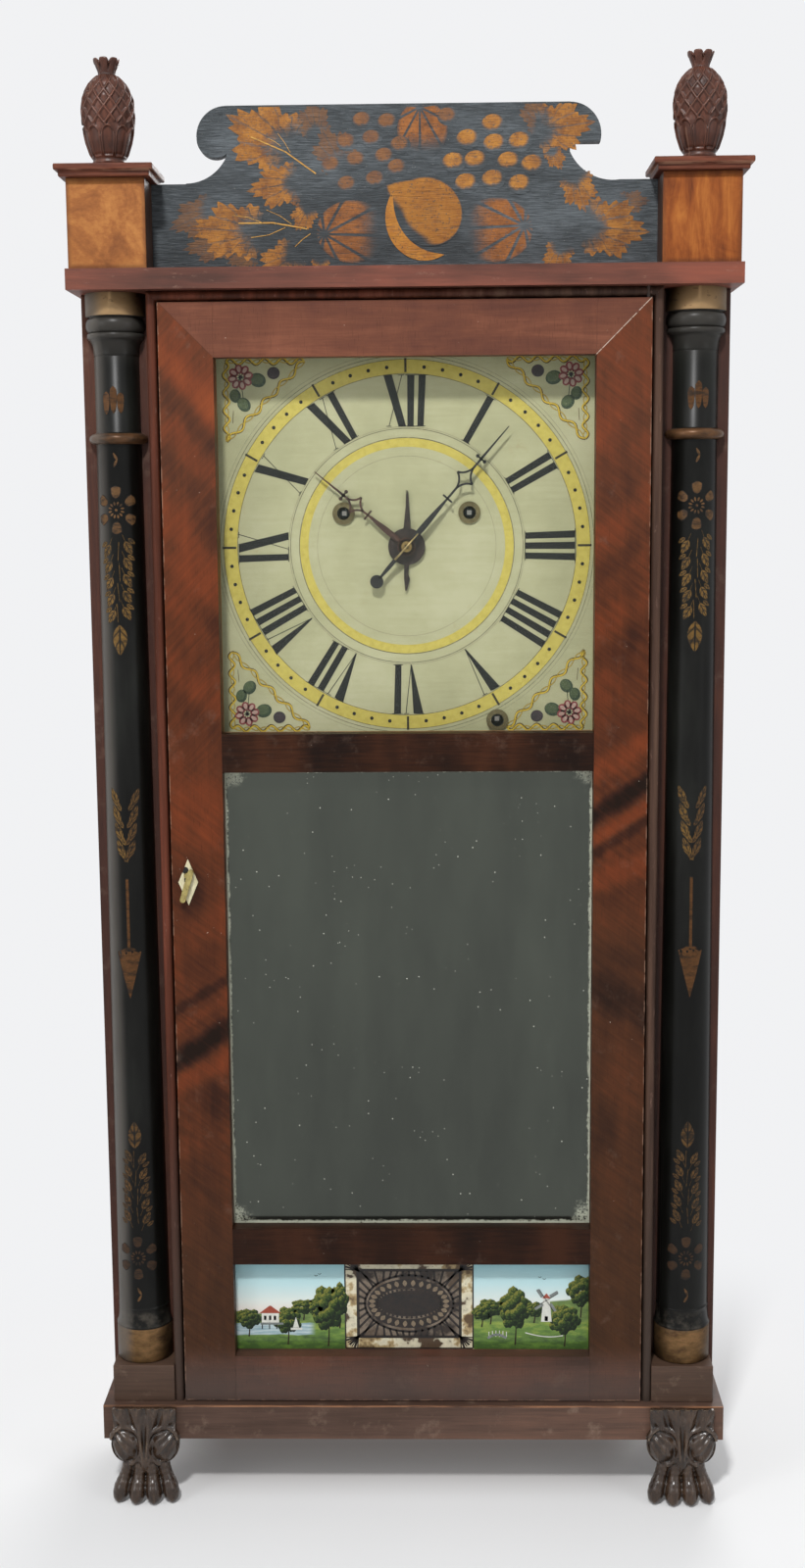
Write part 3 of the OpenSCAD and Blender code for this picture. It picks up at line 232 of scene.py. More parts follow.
class Finish(Nodes):
    """A material around one Principled shader."""

    def __init__(self, name, specular=0.5, **constants):
        self.material = bpy.data.materials.new(name)
        self.material.use_nodes = True
        super().__init__(self.material.node_tree)
        self.shader = self.tree.nodes["Principled BSDF"]
        constants["Specular_IOR_Level"] = specular
        for socket, value in constants.items():
            self.shader.inputs[socket.replace("_", " ")].default_value = value

    def feed(self, colour, rough=None, **inputs):
        """Wires the shader and hands back the finished material."""
        inputs["Base_Color"] = colour
        if rough is not None:
            inputs["Roughness"] = rough
        for key, value in inputs.items():
            self.tree.links.new(value.socket, self.shader.inputs[key.replace("_", " ")])
        return self.material

    def place(self, stretch=EVEN, turn=0.0, shift=(0, 0, 0)):
        """Object coordinates in millimetres, turned about Y by degrees, then stretched."""
        turned = self.add("Mapping", {"vector_type": "POINT"},
                          {"Vector": self.add("TexCoord", output=3),
                           "Rotation": (0, math.radians(turn), 0)})
        return self.add("VectorMath", {"operation": "MULTIPLY_ADD"},
                        {0: turned, 1: [s / MM for s in stretch], 2: shift})

    def axes(self, vector):
        """The three parts of a vector."""
        split = self.add("SeparateXYZ", inputs={"Vector": vector})
        return [Wire(self, split.socket.node.outputs[i]) for i in range(3)]

    def here(self):
        """Across, back and up in millimetres, each on its own wire."""
        return self.axes(self.place())

    def disc(self):
        """The place on a stencil's cut-out: along and across from -1 to 1."""
        u, v, _ = self.axes(self.add("UVMap", {"uv_map": "shape"}))
        return u * 2 - 1, v * 2 - 1

    def noise(self, scale, stretch=EVEN, detail=4.0, rough=0.6, warp=0.0, **placing):
        """Noise from 0 to 1 through the stretched solid, or over a vector's wire."""
        vector = stretch if isinstance(stretch, Wire) else self.place(stretch, **placing)
        return self.add("TexNoise", inputs={
            "Vector": vector, "Scale": scale, "Detail": detail, "Roughness": rough,
            "Distortion": warp})

    def ramp(self, value, *stops):
        """A colour that runs through stops, each written as place and tint."""
        return self.add("ValToRGB", {"stops": stops}, {"Fac": value})

    def mix(self, factor, a, b):
        """From colour a at factor 0 to colour b at 1. Each is a wire or a tint."""
        a, b = (tint(c) if isinstance(c, str) else c for c in (a, b))
        return self.add("Mix", {"data_type": "RGBA"}, {0: factor, 6: a, 7: b}, 2)

    def coats(self, colour, *layers):
        """Lays coats over a colour one after another, each written as factor and tint."""
        for factor, coat in layers:
            colour = self.mix(factor, colour, coat)
        return colour

    def bump(self, height, strength, depth=0.0003):
        """A surface normal that follows a height."""
        return self.add("Bump", inputs={"Strength": strength, "Distance": depth,
                                        "Height": height})

    def hollows(self):
        """High on sharp edges, low in grooves."""
        return self.add("NewGeometry", output="Pointiness")


bpy.context.scene.world = bpy.data.worlds.new("studio")
bpy.context.scene.world.use_nodes = True
sky = Nodes(bpy.context.scene.world.node_tree)
sky.tree.nodes.clear()
ambient = sky.add("Background", inputs={"Color": (0.95, 0.97, 1.0, 1), "Strength": 0.31})
backdrop = sky.add("Background", inputs={"Color": BACKDROP})
seen = sky.add("MixShader", inputs={0: sky.backdrop_rays(), 1: ambient, 2: backdrop})
sky.add("OutputWorld", inputs={0: seen})

f = Finish("pale_floor", Roughness=0.85)
mottle = f.noise(0.004, EVEN, 2.0, 0.5)
x, y, z = f.here()
# Painted shade: the floor is painted dark brown under the case, where the case shades it.
painted_shade_under_case = abs(x).rise(*SHADE_SIDES) * y.rise(*SHADE_FRONT) * y.rise(*SHADE_BACK)
f.feed(f.mix(painted_shade_under_case * 0.95, f.ramp(mottle, (0.3, "ebebeb"), (0.7, "f0f0f0")), "5d4f45"))
out_x, out_y = ((abs(v) - half).most(0) for v, half in zip((x, y), CASE_HALF))
far = out_x.apart(out_y).rise(*FLOOR_FADES)
glow = f.add("Emission", inputs={"Color": BACKDROP}, output="Emission")
surface = Wire(f, f.shader.outputs[0])
both = f.add("MixShader", inputs={0: far * f.backdrop_rays(), 1: surface, 2: glow})
f.tree.links.new(both.socket, f.tree.nodes["Material Output"].inputs[0])
sheet = bmesh.new()
bmesh.ops.create_grid(sheet, x_segments=1, y_segments=1, size=6.0)
new_piece("floor", sheet, f.material)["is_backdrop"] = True

# Case boards
# Mahogany and pine boards, planed, glued and varnished, with their sharp corners eased
# by sanding and long handling. Each board is the solid of the frame with eased edges.
ACROSS, UPRIGHT = 0, 2
WELD = 2e-5


def wood(name, grain, light, middle, dark, gloss=0.45, wear=0.2, rubbed_and_lit_top=None):
    """Varnished wood whose grain runs along the axis grain, with pores, figure and dust.

    The front's top edge, at a height given, is rubbed bright and carries a painted highlight."""
    f = Finish(name, specular=0.25)
    long = [0.05 if axis == grain else 1.0 for axis in range(3)]
    fine = [0.02 if axis == grain else 1.0 for axis in range(3)]
    broad = f.noise(0.035, long, 3.0, 0.55, 0.8)
    fibre = f.noise(0.55, long, warp=0.3)
    pits = f.noise(2.6, fine, 2.0, 0.5).rise(0.42, 0.30)
    tone = broad * 0.5 + fibre * 0.25 + f.noise(0.012) * 0.25
    dust = f.noise(0.06, EVEN, 5.0, 0.7).rise(0.54, 0.74)
    colour = f.coats(f.ramp(tone, (0.36, dark), (0.5, middle), (0.64, light)),
                     (pits * 0.4, dark), (dust * wear, "8d7868"))
    if rubbed_and_lit_top:
        x, y, z = f.here()
        # Painted highlight, with real wear, along the front's top edge.
        rubbed = abs(z - rubbed_and_lit_top).rise(1.2, 0.5) * y.rise(FACE - 4.9, FACE - 5.7)
        colour = f.mix(rubbed * fibre.rise(0.34, 0.56) * 0.6, colour, "b07c58")
    return f.feed(colour, gloss + dust * 0.22 + fibre * 0.12,
                  Normal=f.bump(fibre * 0.6 - pits * 0.5, 0.35))


def merged(name):
    """The solid of a frame node as one closed surface."""
    bm = bmesh.new()
    bm.from_mesh(cad[name].data)
    bmesh.ops.remove_doubles(bm, verts=bm.verts, dist=WELD)
    return bm


def eased(name, material, body="case", width=0.6):
    """A copy of a frame node with its edges eased, in place of the node."""
    mesh = cad[name].data.copy()
    bm = merged(name)
    bmesh.ops.dissolve_limit(bm, angle_limit=math.radians(1), verts=bm.verts, edges=bm.edges)
    bm.to_mesh(mesh)
    bm.free()
    mesh.materials.clear()
    mesh.materials.append(material)
    o = show(name + "_eased", mesh)
    bevel = o.modifiers.new("eased", "BEVEL")
    bevel.width = width * MM
    bevel.segments = 2
    bevel.limit_method = "ANGLE"
    bevel.angle_limit = math.radians(50)
    bevel.use_clamp_overlap = True
    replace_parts(o, name)
    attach(o, body)


def paint(material, *names):
    """Gives frame nodes that keep their shape a finish."""
    for name in names:
        mesh = cad[name].data
        mesh.materials.clear()
        mesh.materials.append(material)


eased("base_box", wood("base_mahogany", ACROSS, "6b4e40", "543f35", "3e2d24", 0.5, 0.4,
                       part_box("base_box")[1][2] / MM))
side_wood = wood("side_mahogany", UPRIGHT, "55301f", "3f231a", "2a1812")
eased("side_boards", side_wood)
eased("front_frame", side_wood)
f = Finish("top_mahogany", specular=0.25)
streak = f.noise(0.10, (0.05, 1, 1), warp=0.5)
blot = f.noise(0.03, (0.35, 1, 0.6), 3.0)
fibre = f.noise(0.8, (0.06, 1, 1), rough=0.65)
scuff = f.noise(0.25, (0.3, 1, 1), 5.0, 0.75).rise(0.60, 0.72)
colour = f.ramp(streak * 0.4 + blot * 0.45 + fibre * 0.15,
                (0.36, "452a22"), (0.47, "63392d"), (0.55, "784334"), (0.66, "8a4a36"))
f.feed(f.mix(scuff * 0.3, colour, "a08272"), 0.42 + fibre * 0.2, Normal=f.bump(fibre, 0.3))
eased("top_board", f.material, width=0.8)
pine = wood("old_pine", UPRIGHT, "9c7a54", "82623f", "644a2f", 0.75, 0.35)
paint(pine, "back_board", "inner_strips")

# Bead around the door and blocks under the columns
# A half-round mahogany bead frames the door, red above, browner toward the foot and the
# right, and rubbed pale in patches. A plain block stands under each column.
BEAD_BROWN = (330, 80)
f = Finish("bead_mahogany", specular=0.12)
x, y, z = f.here()
run = f.noise(0.12, (1, 1, 0.05))
wearing = f.noise(0.3, (1, 1, 0.25), 5.0, 0.75).rise(0.60, 0.70)
red = f.ramp(run, (0.36, "3f2117"), (0.5, "522b1e"), (0.64, "673728"))
brown = f.ramp(run, (0.36, "33241d"), (0.5, "46332a"), (0.64, "584236"))
f.feed(f.coats(red, ((x * 0.006 + run).rise(0.35, 1.15), brown), (wearing * 0.35, "97776a"),
               (z.rise(*BEAD_BROWN) * 0.9, "3d332d")), 0.36 + run * 0.2)
paint(f.material, "door_bead")
for polygon in cad["door_bead"].data.polygons:
    polygon.use_smooth = abs(polygon.normal.z) < 0.99
eased("plinth_blocks", wood("block_mahogany", ACROSS, "5f4937", "4e3b30", "392b22", 0.5, 0.35))

# Half columns
# Turned wooden half columns, painted black and greyed in drifts. A dull gilt ring is at the
# head and the foot, and the ring at the neck is worn down to brown bronze. A painted highlight
# runs down the outer side of the left column and under the head; the gilt is painted lighter at
# the head and darker toward its sides, as painted light and shade.
COLUMN_X = 186.4
COLUMN_BACK = FACE + 22
RING = 19.2
FOOT_R = 17.6
HEAD_R = 14.6
COLUMN_LOW = 94.0
COLUMN_TOP = 814.0
NECK_RING = COLUMN_TOP - 91.5
NECK_LINE = COLUMN_TOP - 39
SHAFT_LOW = COLUMN_LOW + 40
SHAFT_LONG = NECK_RING - 4 - SHAFT_LOW
GILT_HEAD = COLUMN_TOP - 14.4
GILT_FOOT = COLUMN_LOW + 24.6
# Where the painted highlight lies: under the head, and down the outer side of the left column
HEAD_HIGHLIGHT = (765, 795)
OUTER_HIGHLIGHT = (-190, -199)
SIDES = ((-1, "left"), (1, "right"))


def added(name, bm, material, body, smooth=True):
    """A new piece that moves with a body."""
    o = new_piece(name, bm, material, smooth)
    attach(o, body)
    return o


def polar(angle, across, up=None):
    """A place at an angle in degrees on a circle, or on an oval with the half height up."""
    a = math.radians(angle)
    return Vector((across * math.cos(a), (across if up is None else up) * math.sin(a)))


def arc(centre, radii, start, end, step):
    """Points of a turner's profile along a quarter or half round, angles in degrees."""
    return [Vector(centre) + polar(angle, *radii) for angle in range(start, end, step)]


def column_radius(z):
    """The shaft's radius, which shrinks evenly from foot to head."""
    return FOOT_R + (HEAD_R - FOOT_R) * min(max((z - SHAFT_LOW) / SHAFT_LONG, 0), 1)


def column_outline():
    """Radius and height up the column."""
    foot = [(RING - 0.8, 0.2), (RING, 1), (RING, 24.2), (RING - 0.5, 24.8)]
    foot += arc((FOOT_R + 2.1, 37), (2.0, 12), 260, 180, -10)
    foot += [(FOOT_R, 37.4), (FOOT_R + 0.35, 37.9), (FOOT_R + 0.35, 38.5), (FOOT_R - 0.1, 38.9)]
    shaft = [SHAFT_LOW + SHAFT_LONG * t for t in (0, 0.25, 0.5, 0.75, 1)]
    neck = arc((HEAD_R + 0.6, NECK_RING), (3.9, 3.4), -90, 91, 12)
    neck += [(HEAD_R - 0.1, NECK_RING + 4.4), (HEAD_R - 0.1, NECK_LINE - 0.6),
             (HEAD_R - 0.5, NECK_LINE - 0.2), (HEAD_R, NECK_LINE + 0.3)]
    neck += arc((HEAD_R + 3.7, NECK_LINE + 1), (3.7, 9.5), 180, 90, -9)
    head = [(RING - 0.9, -28), (RING - 0.6, -27.4), (RING - 0.6, -25.6), (RING - 1.0, -25.1),
            (RING - 2.6, -24.8)]
    head += arc((RING - 2.6, -20), (2.6, 4.7), -75, 76, 15)
    head += [(RING - 2.5, -15.1), (RING - 2.4, -14.6), (RING - 0.2, -14.3), (RING, -13.8),
             (RING, -0.1)]
    return ([(r, COLUMN_LOW + z) for r, z in foot] + [(column_radius(z), z) for z in shaft]
            + neck + [(r, COLUMN_TOP + z) for r, z in head])


def turned(outline, start, sweep, steps):
    """A surface turned from an outline of radius and height around the origin's axis."""
    bm = bmesh.new()
    verts = [bm.verts.new(Vector((r * math.cos(start), r * math.sin(start), z)) * MM)
             for r, z in outline]
    edges = [bm.edges.new(pair) for pair in zip(verts, verts[1:])]
    bmesh.ops.spin(bm, geom=verts + edges, cent=(0, 0, 0), axis=(0, 0, 1),
                   angle=sweep, steps=steps, use_merge=sweep > 6.28)
    bmesh.ops.remove_doubles(bm, verts=bm.verts, dist=1e-6)
    bmesh.ops.recalc_face_normals(bm, faces=bm.faces)
    return bm


def moved(bm, x, y, z):
    """Shifts a whole mesh by millimetres."""
    bmesh.ops.translate(bm, verts=bm.verts, vec=Vector((x, y, z)) * MM)
    return bm


def black_ground(f):
    """The column's black paint, greyed in drifts, with small brown chips."""
    body = f.noise(0.03, (1, 1, 0.22))
    colour = f.ramp(body, (0.35, "0a0a08"), (0.5, "121210"), (0.66, "1d1e1b"))
    chips = f.noise(0.3, (1, 1, 0.5), 5.0, 0.75).rise(0.70, 0.75)
    return f.mix(chips * 0.6, colour, "4a3826"), body, chips


f = Finish("column_black", specular=0.15)
x, y, z = f.here()
ground, body, chips = black_ground(f)
brushed = f.noise(0.07, (1, 1, 2.0), rough=0.65)
head = z.rise(GILT_HEAD, GILT_HEAD + 0.3)
# Painted shade: the gilt darkens toward each ring's sides, where it turns away.
turn = abs((abs(x) - COLUMN_X) * 0.05)
# Painted light: the gilt at the head is painted lighter against the top board's shade.
gold = f.coats(f.ramp(brushed, (0.32, "43301f"), (0.5, "664d30"), (0.68, "806040")),
               (head * 0.6, "b3946c"), (turn.rise(0.35, 0.95) * 0.6, "2a2118"))
neck = abs(z - NECK_RING).rise(3.6, 3.2)
gilt = head.most(z.rise(GILT_FOOT, GILT_FOOT - 0.4))
bare = brushed.rise(0.60, 0.68)
dusty = abs(z - (COLUMN_LOW + 30)).rise(9, 3) * f.noise(0.1, rough=0.7).rise(0.4, 0.7)
# Painted highlight: pale grey down the outer side of the left column and under the head's gilt.
painted_highlight = (x.rise(*OUTER_HIGHLIGHT) * (body * 2).least(1)).most(
    z.rise(*HEAD_HIGHLIGHT) * (1 - head) * 0.35)
f.feed(f.coats(ground, (gilt * (1 - bare * 0.5), gold),
               (neck * 0.85, f.ramp(brushed, (0.35, "3a2a1d"), (0.65, "6a4a30"))),
               (dusty * 0.3, "6d655a"), (painted_highlight * 0.62, "67625c")),
       0.28 + body * 0.14 + gilt * 0.16, Metallic=gilt * 0.35 + neck * 0.15,
       Normal=f.bump(body - chips * 0.6, 0.25, 0.0004))
for side, hand in SIDES:
    bm = moved(turned(column_outline(), math.pi, math.pi, 48), side * COLUMN_X, COLUMN_BACK, 0)
    bmesh.ops.contextual_create(bm, geom=[e for e in bm.edges if e.is_boundary])
    bmesh.ops.recalc_face_normals(bm, faces=bm.faces)
    column = added("column_" + hand, bm, f.material, "case")
    for polygon in column.data.polygons:
        polygon.use_smooth = len(polygon.vertices) < 5
    if side < 0:
        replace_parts(column, "half_columns")

# Column stencils
# Bronze powder rubbed through cut paper on tacky varnish: a crown above the neck ring, a
# flower over a hanging spray, an arrow in the middle, and a spray over a flower at the foot.
PETALS = 6
SPRIGS = 5
STEM_PARTS = 4
FEATHERS = 4
COLUMN_LIFT = 0.12
FLOWER_R = 15.5
FLOWERS = (("petals", 677), ("faint_petals", 170))
SPRAYS = (("leaves", "stems", 657, 604, 1.0), ("faint_leaves", "faint_stems", 194, 247, 0.95))
CROWN = ((-4.6, 15, 745), (0.2, 18, 747), (4.8, 13.5, 745))
TENDRILS = ((711, 118), (707, 66), (146, 118), (141, 62))
FEATHER_TOP = 489
ARROW_SHAFT, ARROW_HEAD = 410, 370


def column_place(side, lift):
    """Lays a drawing's u and z round one half column."""
    def place(u, z):
        r = column_radius(z) + lift
        return Vector((side * COLUMN_X + r * math.sin(u / r), COLUMN_BACK - r * math.cos(u / r),
                       z)) * MM
    return place


def lay_cut(bm, made, warp, place, at, size, turn):
    """Turns a unit shape into a stencil's cut-out: warp shapes it and place lays it down.

    Its UV map keeps where each point lay in the unit shape."""
    uv = bm.loops.layers.uv.get("shape") or bm.loops.layers.uv.new("shape")
    for face in {f for v in made["verts"] for f in v.link_faces}:
        for loop in face.loops:
            loop[uv].uv = (loop.vert.co.x / 2 + 0.5, loop.vert.co.y / 2 + 0.5)
    turning = Matrix.Rotation(math.radians(turn), 2)
    for v in made["verts"]:
        along, across = warp(v.co)
        v.co = place(*(Vector(at) + turning @ Vector((along * size[0], across * size[1])) / 2))


def stamp(bm, outline, place, at, size, turn=0.0, steps=(6, 6)):
    """A cut-out, long along turn, whose width follows outline(along)."""
    made = bmesh.ops.create_grid(bm, x_segments=steps[0], y_segments=steps[1], size=1.0)
    lay_cut(bm, made, lambda co: (co.x, co.y * outline(co.x)), place, at, size, turn)


def oval(s):
    """An oval. An outline gives half the width of a cut-out at s from -1 to 1 along it."""
    return math.sqrt(max(0.0, 1 - s * s))


def pointed(s):
    """A leaflet, pointed at both ends and fuller near its stem."""
    return (1 - s * s) * (1 - 0.25 * s)


def petal(s):
    """A blunt petal, a little wider at its far end."""
    return math.sqrt(max(0.0, 1 - abs(s) ** 3)) * (0.8 + 0.2 * s)


def bar(s):
    """An even strip."""
    return 1.0


def barbed(s):
    """An arrow head with its point at the far end."""
    return max(0.0, (1 - s) / 2) if s > -0.85 else 0.6 - 2.5 * (-0.85 - s)


def bronze(name, rich, bright, core, veins, keep_all):
    """Bronze powder that thins out to the black ground at the rim of each cut-out."""
    f = Finish(name, specular=0.2)
    along, across = f.disc()
    ground, body, _ = black_ground(f)
    powder = f.noise(0.5, (0.8, 1, 1.4), 5.0, 0.75)
    streak = f.noise(0.22, (0.25, 1, 1.2), rough=0.7)
    rim = (along * along).most(across * across).rise(1.0, core)
    keep = (rim + (powder - 0.5) * 0.6).rise(0.1, 0.6)
    if veins:
        slant = (along * veins - abs(across) * 0.9).math("FRACT")
        keep = keep * abs(across).rise(0.05, 0.20) * (
            0.2 + abs(slant - 0.5).rise(0.44, 0.30) * 0.8)
    keep = keep * (0.35 + streak.rise(0.34, 0.52) * 0.65) * keep_all
    tone = f.ramp(powder * 0.5 + streak * 0.5, (0.38, rich), (0.62, bright))
    return f.feed(f.mix(keep, ground, tone), 0.38 + body * 0.12, Metallic=keep * 0.2)


bronzes = {"leaves": bronze("leaf_bronze", "4f3a1e", "76592b", 0.55, 1.5, 0.95),
           "petals": bronze("petal_bronze", "4a3420", "6f5030", 0.25, 0, 0.8),
           "faint_leaves": bronze("faint_leaf_bronze", "43301b", "6b4d28", 0.5, 1.5, 0.75),
           "faint_petals": bronze("faint_petal_bronze", "33241a", "48321f", 0.25, 0, 0.8),
           "arrow": bronze("arrow_bronze", "412912", "5f3e20", 0.8, 0, 0.85)}
bronzes["stems"] = bronzes["leaves"]
bronzes["faint_stems"] = bronzes["faint_leaves"]


def flower(bm, place, x, z, r):
    """Six round petals around a centre of small wedges between two dark rings."""
    middle = Vector((x, z))
    for k in range(PETALS):
        angle = 360 / PETALS * k - 90
        stamp(bm, petal, place, middle + polar(angle, r * 0.70, r * 0.74), (r * 0.56, r * 0.56),
              angle, (5, 5))
        for wedge in (angle - 15, angle + 15):
            stamp(bm, petal, place, middle + polar(wedge, r * 0.27), (r * 0.2, r * 0.12), wedge,
                  (3, 3))
    stamp(bm, oval, place, middle, (r * 0.14, r * 0.14), 0, (3, 3))


def spray(leaves, stems, place, x, start, end, scale):
    """Sprigs of three leaflets along a bent stem, and one large leaf at its end."""
    way = 1 if end > start else -1
    for k in range(SPRIGS):
        t = (k + 0.6) / SPRIGS
        for side, _ in SIDES:
            tip = 90 * way - side * way * 30
            at = Vector((x + side * (7.6 - 2.6 * t) * scale,
                         start + (end - start) * t - way * (2.0 if side > 0 else 0)))
            stamp(leaves, pointed, place, at, (10.5 * scale, 5.6 * scale), tip, (6, 4))
            stamp(leaves, pointed, place, at + Vector((side * 2.4, -way * 4.2)),
                  (6.5 * scale, 3.2 * scale), tip - side * way * 26, (5, 4))
            stamp(stems, bar, place, at - Vector((side * 2.6, way * 5.5)), (7.5, 0.35),
                  tip + side * way * 8, (3, 1))
    for k in range(STEM_PARTS):
        t = (k + 0.5) / STEM_PARTS
        stamp(stems, bar, place, (x + 1.1 * math.sin(t * 5), start + (end - start) * t),
              (abs(end - start) / STEM_PARTS, 0.55), 90 + way * 5 * math.cos(t * 5), (4, 1))
    stamp(leaves, pointed, place, (x, end + way * 11 * scale), (21 * scale, 10.5 * scale),
          90 * way, (8, 6))


for side, hand in SIDES:
    place = column_place(side, COLUMN_LIFT)
    off = -0.8 if side < 0 else 0.4
    cut = {key: bmesh.new() for key in bronzes}
    for leaves, stems, start, end, scale in SPRAYS:
        spray(cut[leaves], cut[stems], place, off, start, end, scale)
    for key, z in FLOWERS:
        flower(cut[key], place, off, z, FLOWER_R)
    for dx, height, at in CROWN:
        stamp(cut["arrow"], petal, place, (off + dx, at), (height, 5.6), 90, (8, 4))
    for z, turn in TENDRILS:
        stamp(cut["petals"], pointed, place, (off + 0.4, z), (6.5, 2.0), turn, (5, 3))
    for k in range(FEATHERS):
        z = FEATHER_TOP - 11.5 * k
        lean = 7.2 - 1.2 * k
        for way, key in ((-1, "leaves"), (1, "faint_leaves")):
            stamp(cut[key], pointed, place, (off + way * lean, z), (14, 5.4), 90 - way * 22,
                  (6, 4))
            stamp(cut[key], pointed, place, (off + way * (lean - 2.4), z - 5), (10, 3.6),
                  90 - way * 30, (5, 4))
    stamp(cut["arrow"], bar, place, (off, ARROW_SHAFT), (50, 2.0), 90, (6, 3))
    stamp(cut["arrow"], barbed, place, (off, ARROW_HEAD), (36, 19.0), -90, (20, 4))
    for key, finish in bronzes.items():
        added("column_" + key + "_" + hand, cut[key], finish, "case")

# Splat
# A flat board over the top, cut to two scrolls, painted black over its own grain, and
# stencilled with heaped fruit between fans of leaves. It is nailed to the top board.
SPLAT_FACE = FACE + 24
SPLAT_LOW, SPLAT_HIGH = 827.4, 929.2
LOBES = ((0, 1.0, 42), (50, 0.92, 38), (-52, 0.88, 38), (102, 0.78, 42), (-104, 0.76, 42))


def splat_ground(f):
    """Black paint that shows the fine level grain of the board, rubbed grey in streaks."""
    grain = f.noise(1.0, (0.08, 1, 1.1), rough=0.72, warp=0.4)
    cloud = f.noise(0.02, (0.4, 1, 1))
    return f.ramp(grain * 0.5 + cloud * 0.5, (0.36, "1a1d1f"), (0.5, "353a3d"),
                  (0.63, "5a6064")), grain


f = Finish("splat_black", specular=0.3)
ground, grain = splat_ground(f)
bare = f.noise(0.25, (0.12, 1, 1), 5.0, 0.7).rise(0.66, 0.74)
flyspeck = f.noise(1.1, EVEN, 2.0).rise(0.71, 0.76)
f.feed(f.coats(ground, (bare * 0.15, "6e5a45"), (flyspeck * 0.5, "a39f92")), 0.45 + grain * 0.15,
       Normal=f.bump(grain, 0.9, 0.0008))
eased("splat", f.material, width=0.9)


def on_face(depth, x0=0.0, z0=0.0):
    """A way to lay a drawing's x and z on an upright face."""
    return lambda x, z: Vector((x0 + x, depth, z0 + z)) * MM


def vine_leaf(angle):
    """Radius of a toothed vine leaf whose tip is at angle 0, in degrees."""
    reach = 0.42
    for middle, length, half in LOBES:
        off = abs(angle - middle) / half
        if off < 1:
            reach = max(reach, length * (1 - 0.50 * off ** 1.4))
    tooth = abs((angle / 14) % 1 - 0.5) * 2
    return reach * (0.82 + 0.18 * tooth)


def whole_round(angle):
    """The rim of a round or, when stretched, of an oval."""
    return 1.0


def teardrop(angle):
    """A round drawn out to a point at angle 0."""
    return 1.0 + 0.36 * max(0.0, 1 - abs(angle) / 34) ** 1.5


def cut_round(bm, edge, place, at, size, turn, segments):
    """A cut-out whose rim lies at edge(angle) from its middle, seen from turn."""
    made = bmesh.ops.create_circle(bm, cap_ends=True, cap_tris=True, segments=segments, radius=1.0)
    lay_cut(bm, made, lambda co: co.xy * edge(math.degrees(math.atan2(co.y, co.x)))
            if co.length > 0.5 else (0, 0), place, at, size, turn)


def stencilled(name, kind, rich, bright, strength=1.0):
    """Fruit or leaf in bronze powder, shaded off into the black grain of the splat."""
    f = Finish(name, specular=0.3)
    along, across = f.disc()
    ground, grain = splat_ground(f)
    powder = f.noise(0.5, EVEN, 5.0, 0.8)
    broad = f.noise(0.12, EVEN, 3.0)
    spots = f.noise(0.75, EVEN, 2.0, 0.5).rise(0.63, 0.67)
    out_by = along.apart(across)
    if kind == "leaf":
        vein = (across.math("ARCTAN2", along + 0.45) * 2.6 + 0.5).math("FRACT")
        keep = (out_by * 0.50 + along * 0.80 + (broad - 0.5) * 0.5).rise(-0.20, 0.70)
        keep = keep * (0.45 + abs(vein - 0.5).rise(0.03, 0.12) * 0.55)
    elif kind == "ribbed":
        stalk = 0.78 - along
        away = stalk.apart(across - 0.1)
        spoke = ((across - 0.1).math("ARCTAN2", stalk) * 1.75 + 0.5).math("FRACT") - 0.5
        keep = (abs(spoke) * away).rise(0.02, 0.13) * along.rise(-0.95, 0.35)
        keep = keep * (0.4 + out_by.rise(1.02, 0.8) * 0.6) * away.rise(0.05, 0.12)
    elif kind == "grape":
        tip = (along * along + (across + 0.45) * (across + 0.45)).rise(0, 0.05)
        keep = (along + 0.15).apart(across - 0.3).rise(1.12, 0.35) * (0.6 + tip * 0.4)
    elif kind == "pear":
        shade = (along * 0.36 + across * 0.93).rise(0.20, 0.75) * out_by.rise(0.45, 0.80)
        keep = (1 - shade) * out_by.rise(1.02, 0.90)
    else:
        keep = 0.8 + powder * 0.2
    keep = (keep + (powder - 0.5) * 0.35).rise(0.05, 0.8) * (0.3 + grain.rise(0.30, 0.46) * 0.7)
    tone = f.ramp(powder * 0.4 + broad * 0.6, (0.38, rich), (0.6, bright))
    return f.feed(f.mix(keep * strength * (1 - spots * 0.65), ground, tone),
                  0.45 + grain * 0.15, Metallic=keep * 0.12, Normal=f.bump(grain, 0.8, 0.0007))


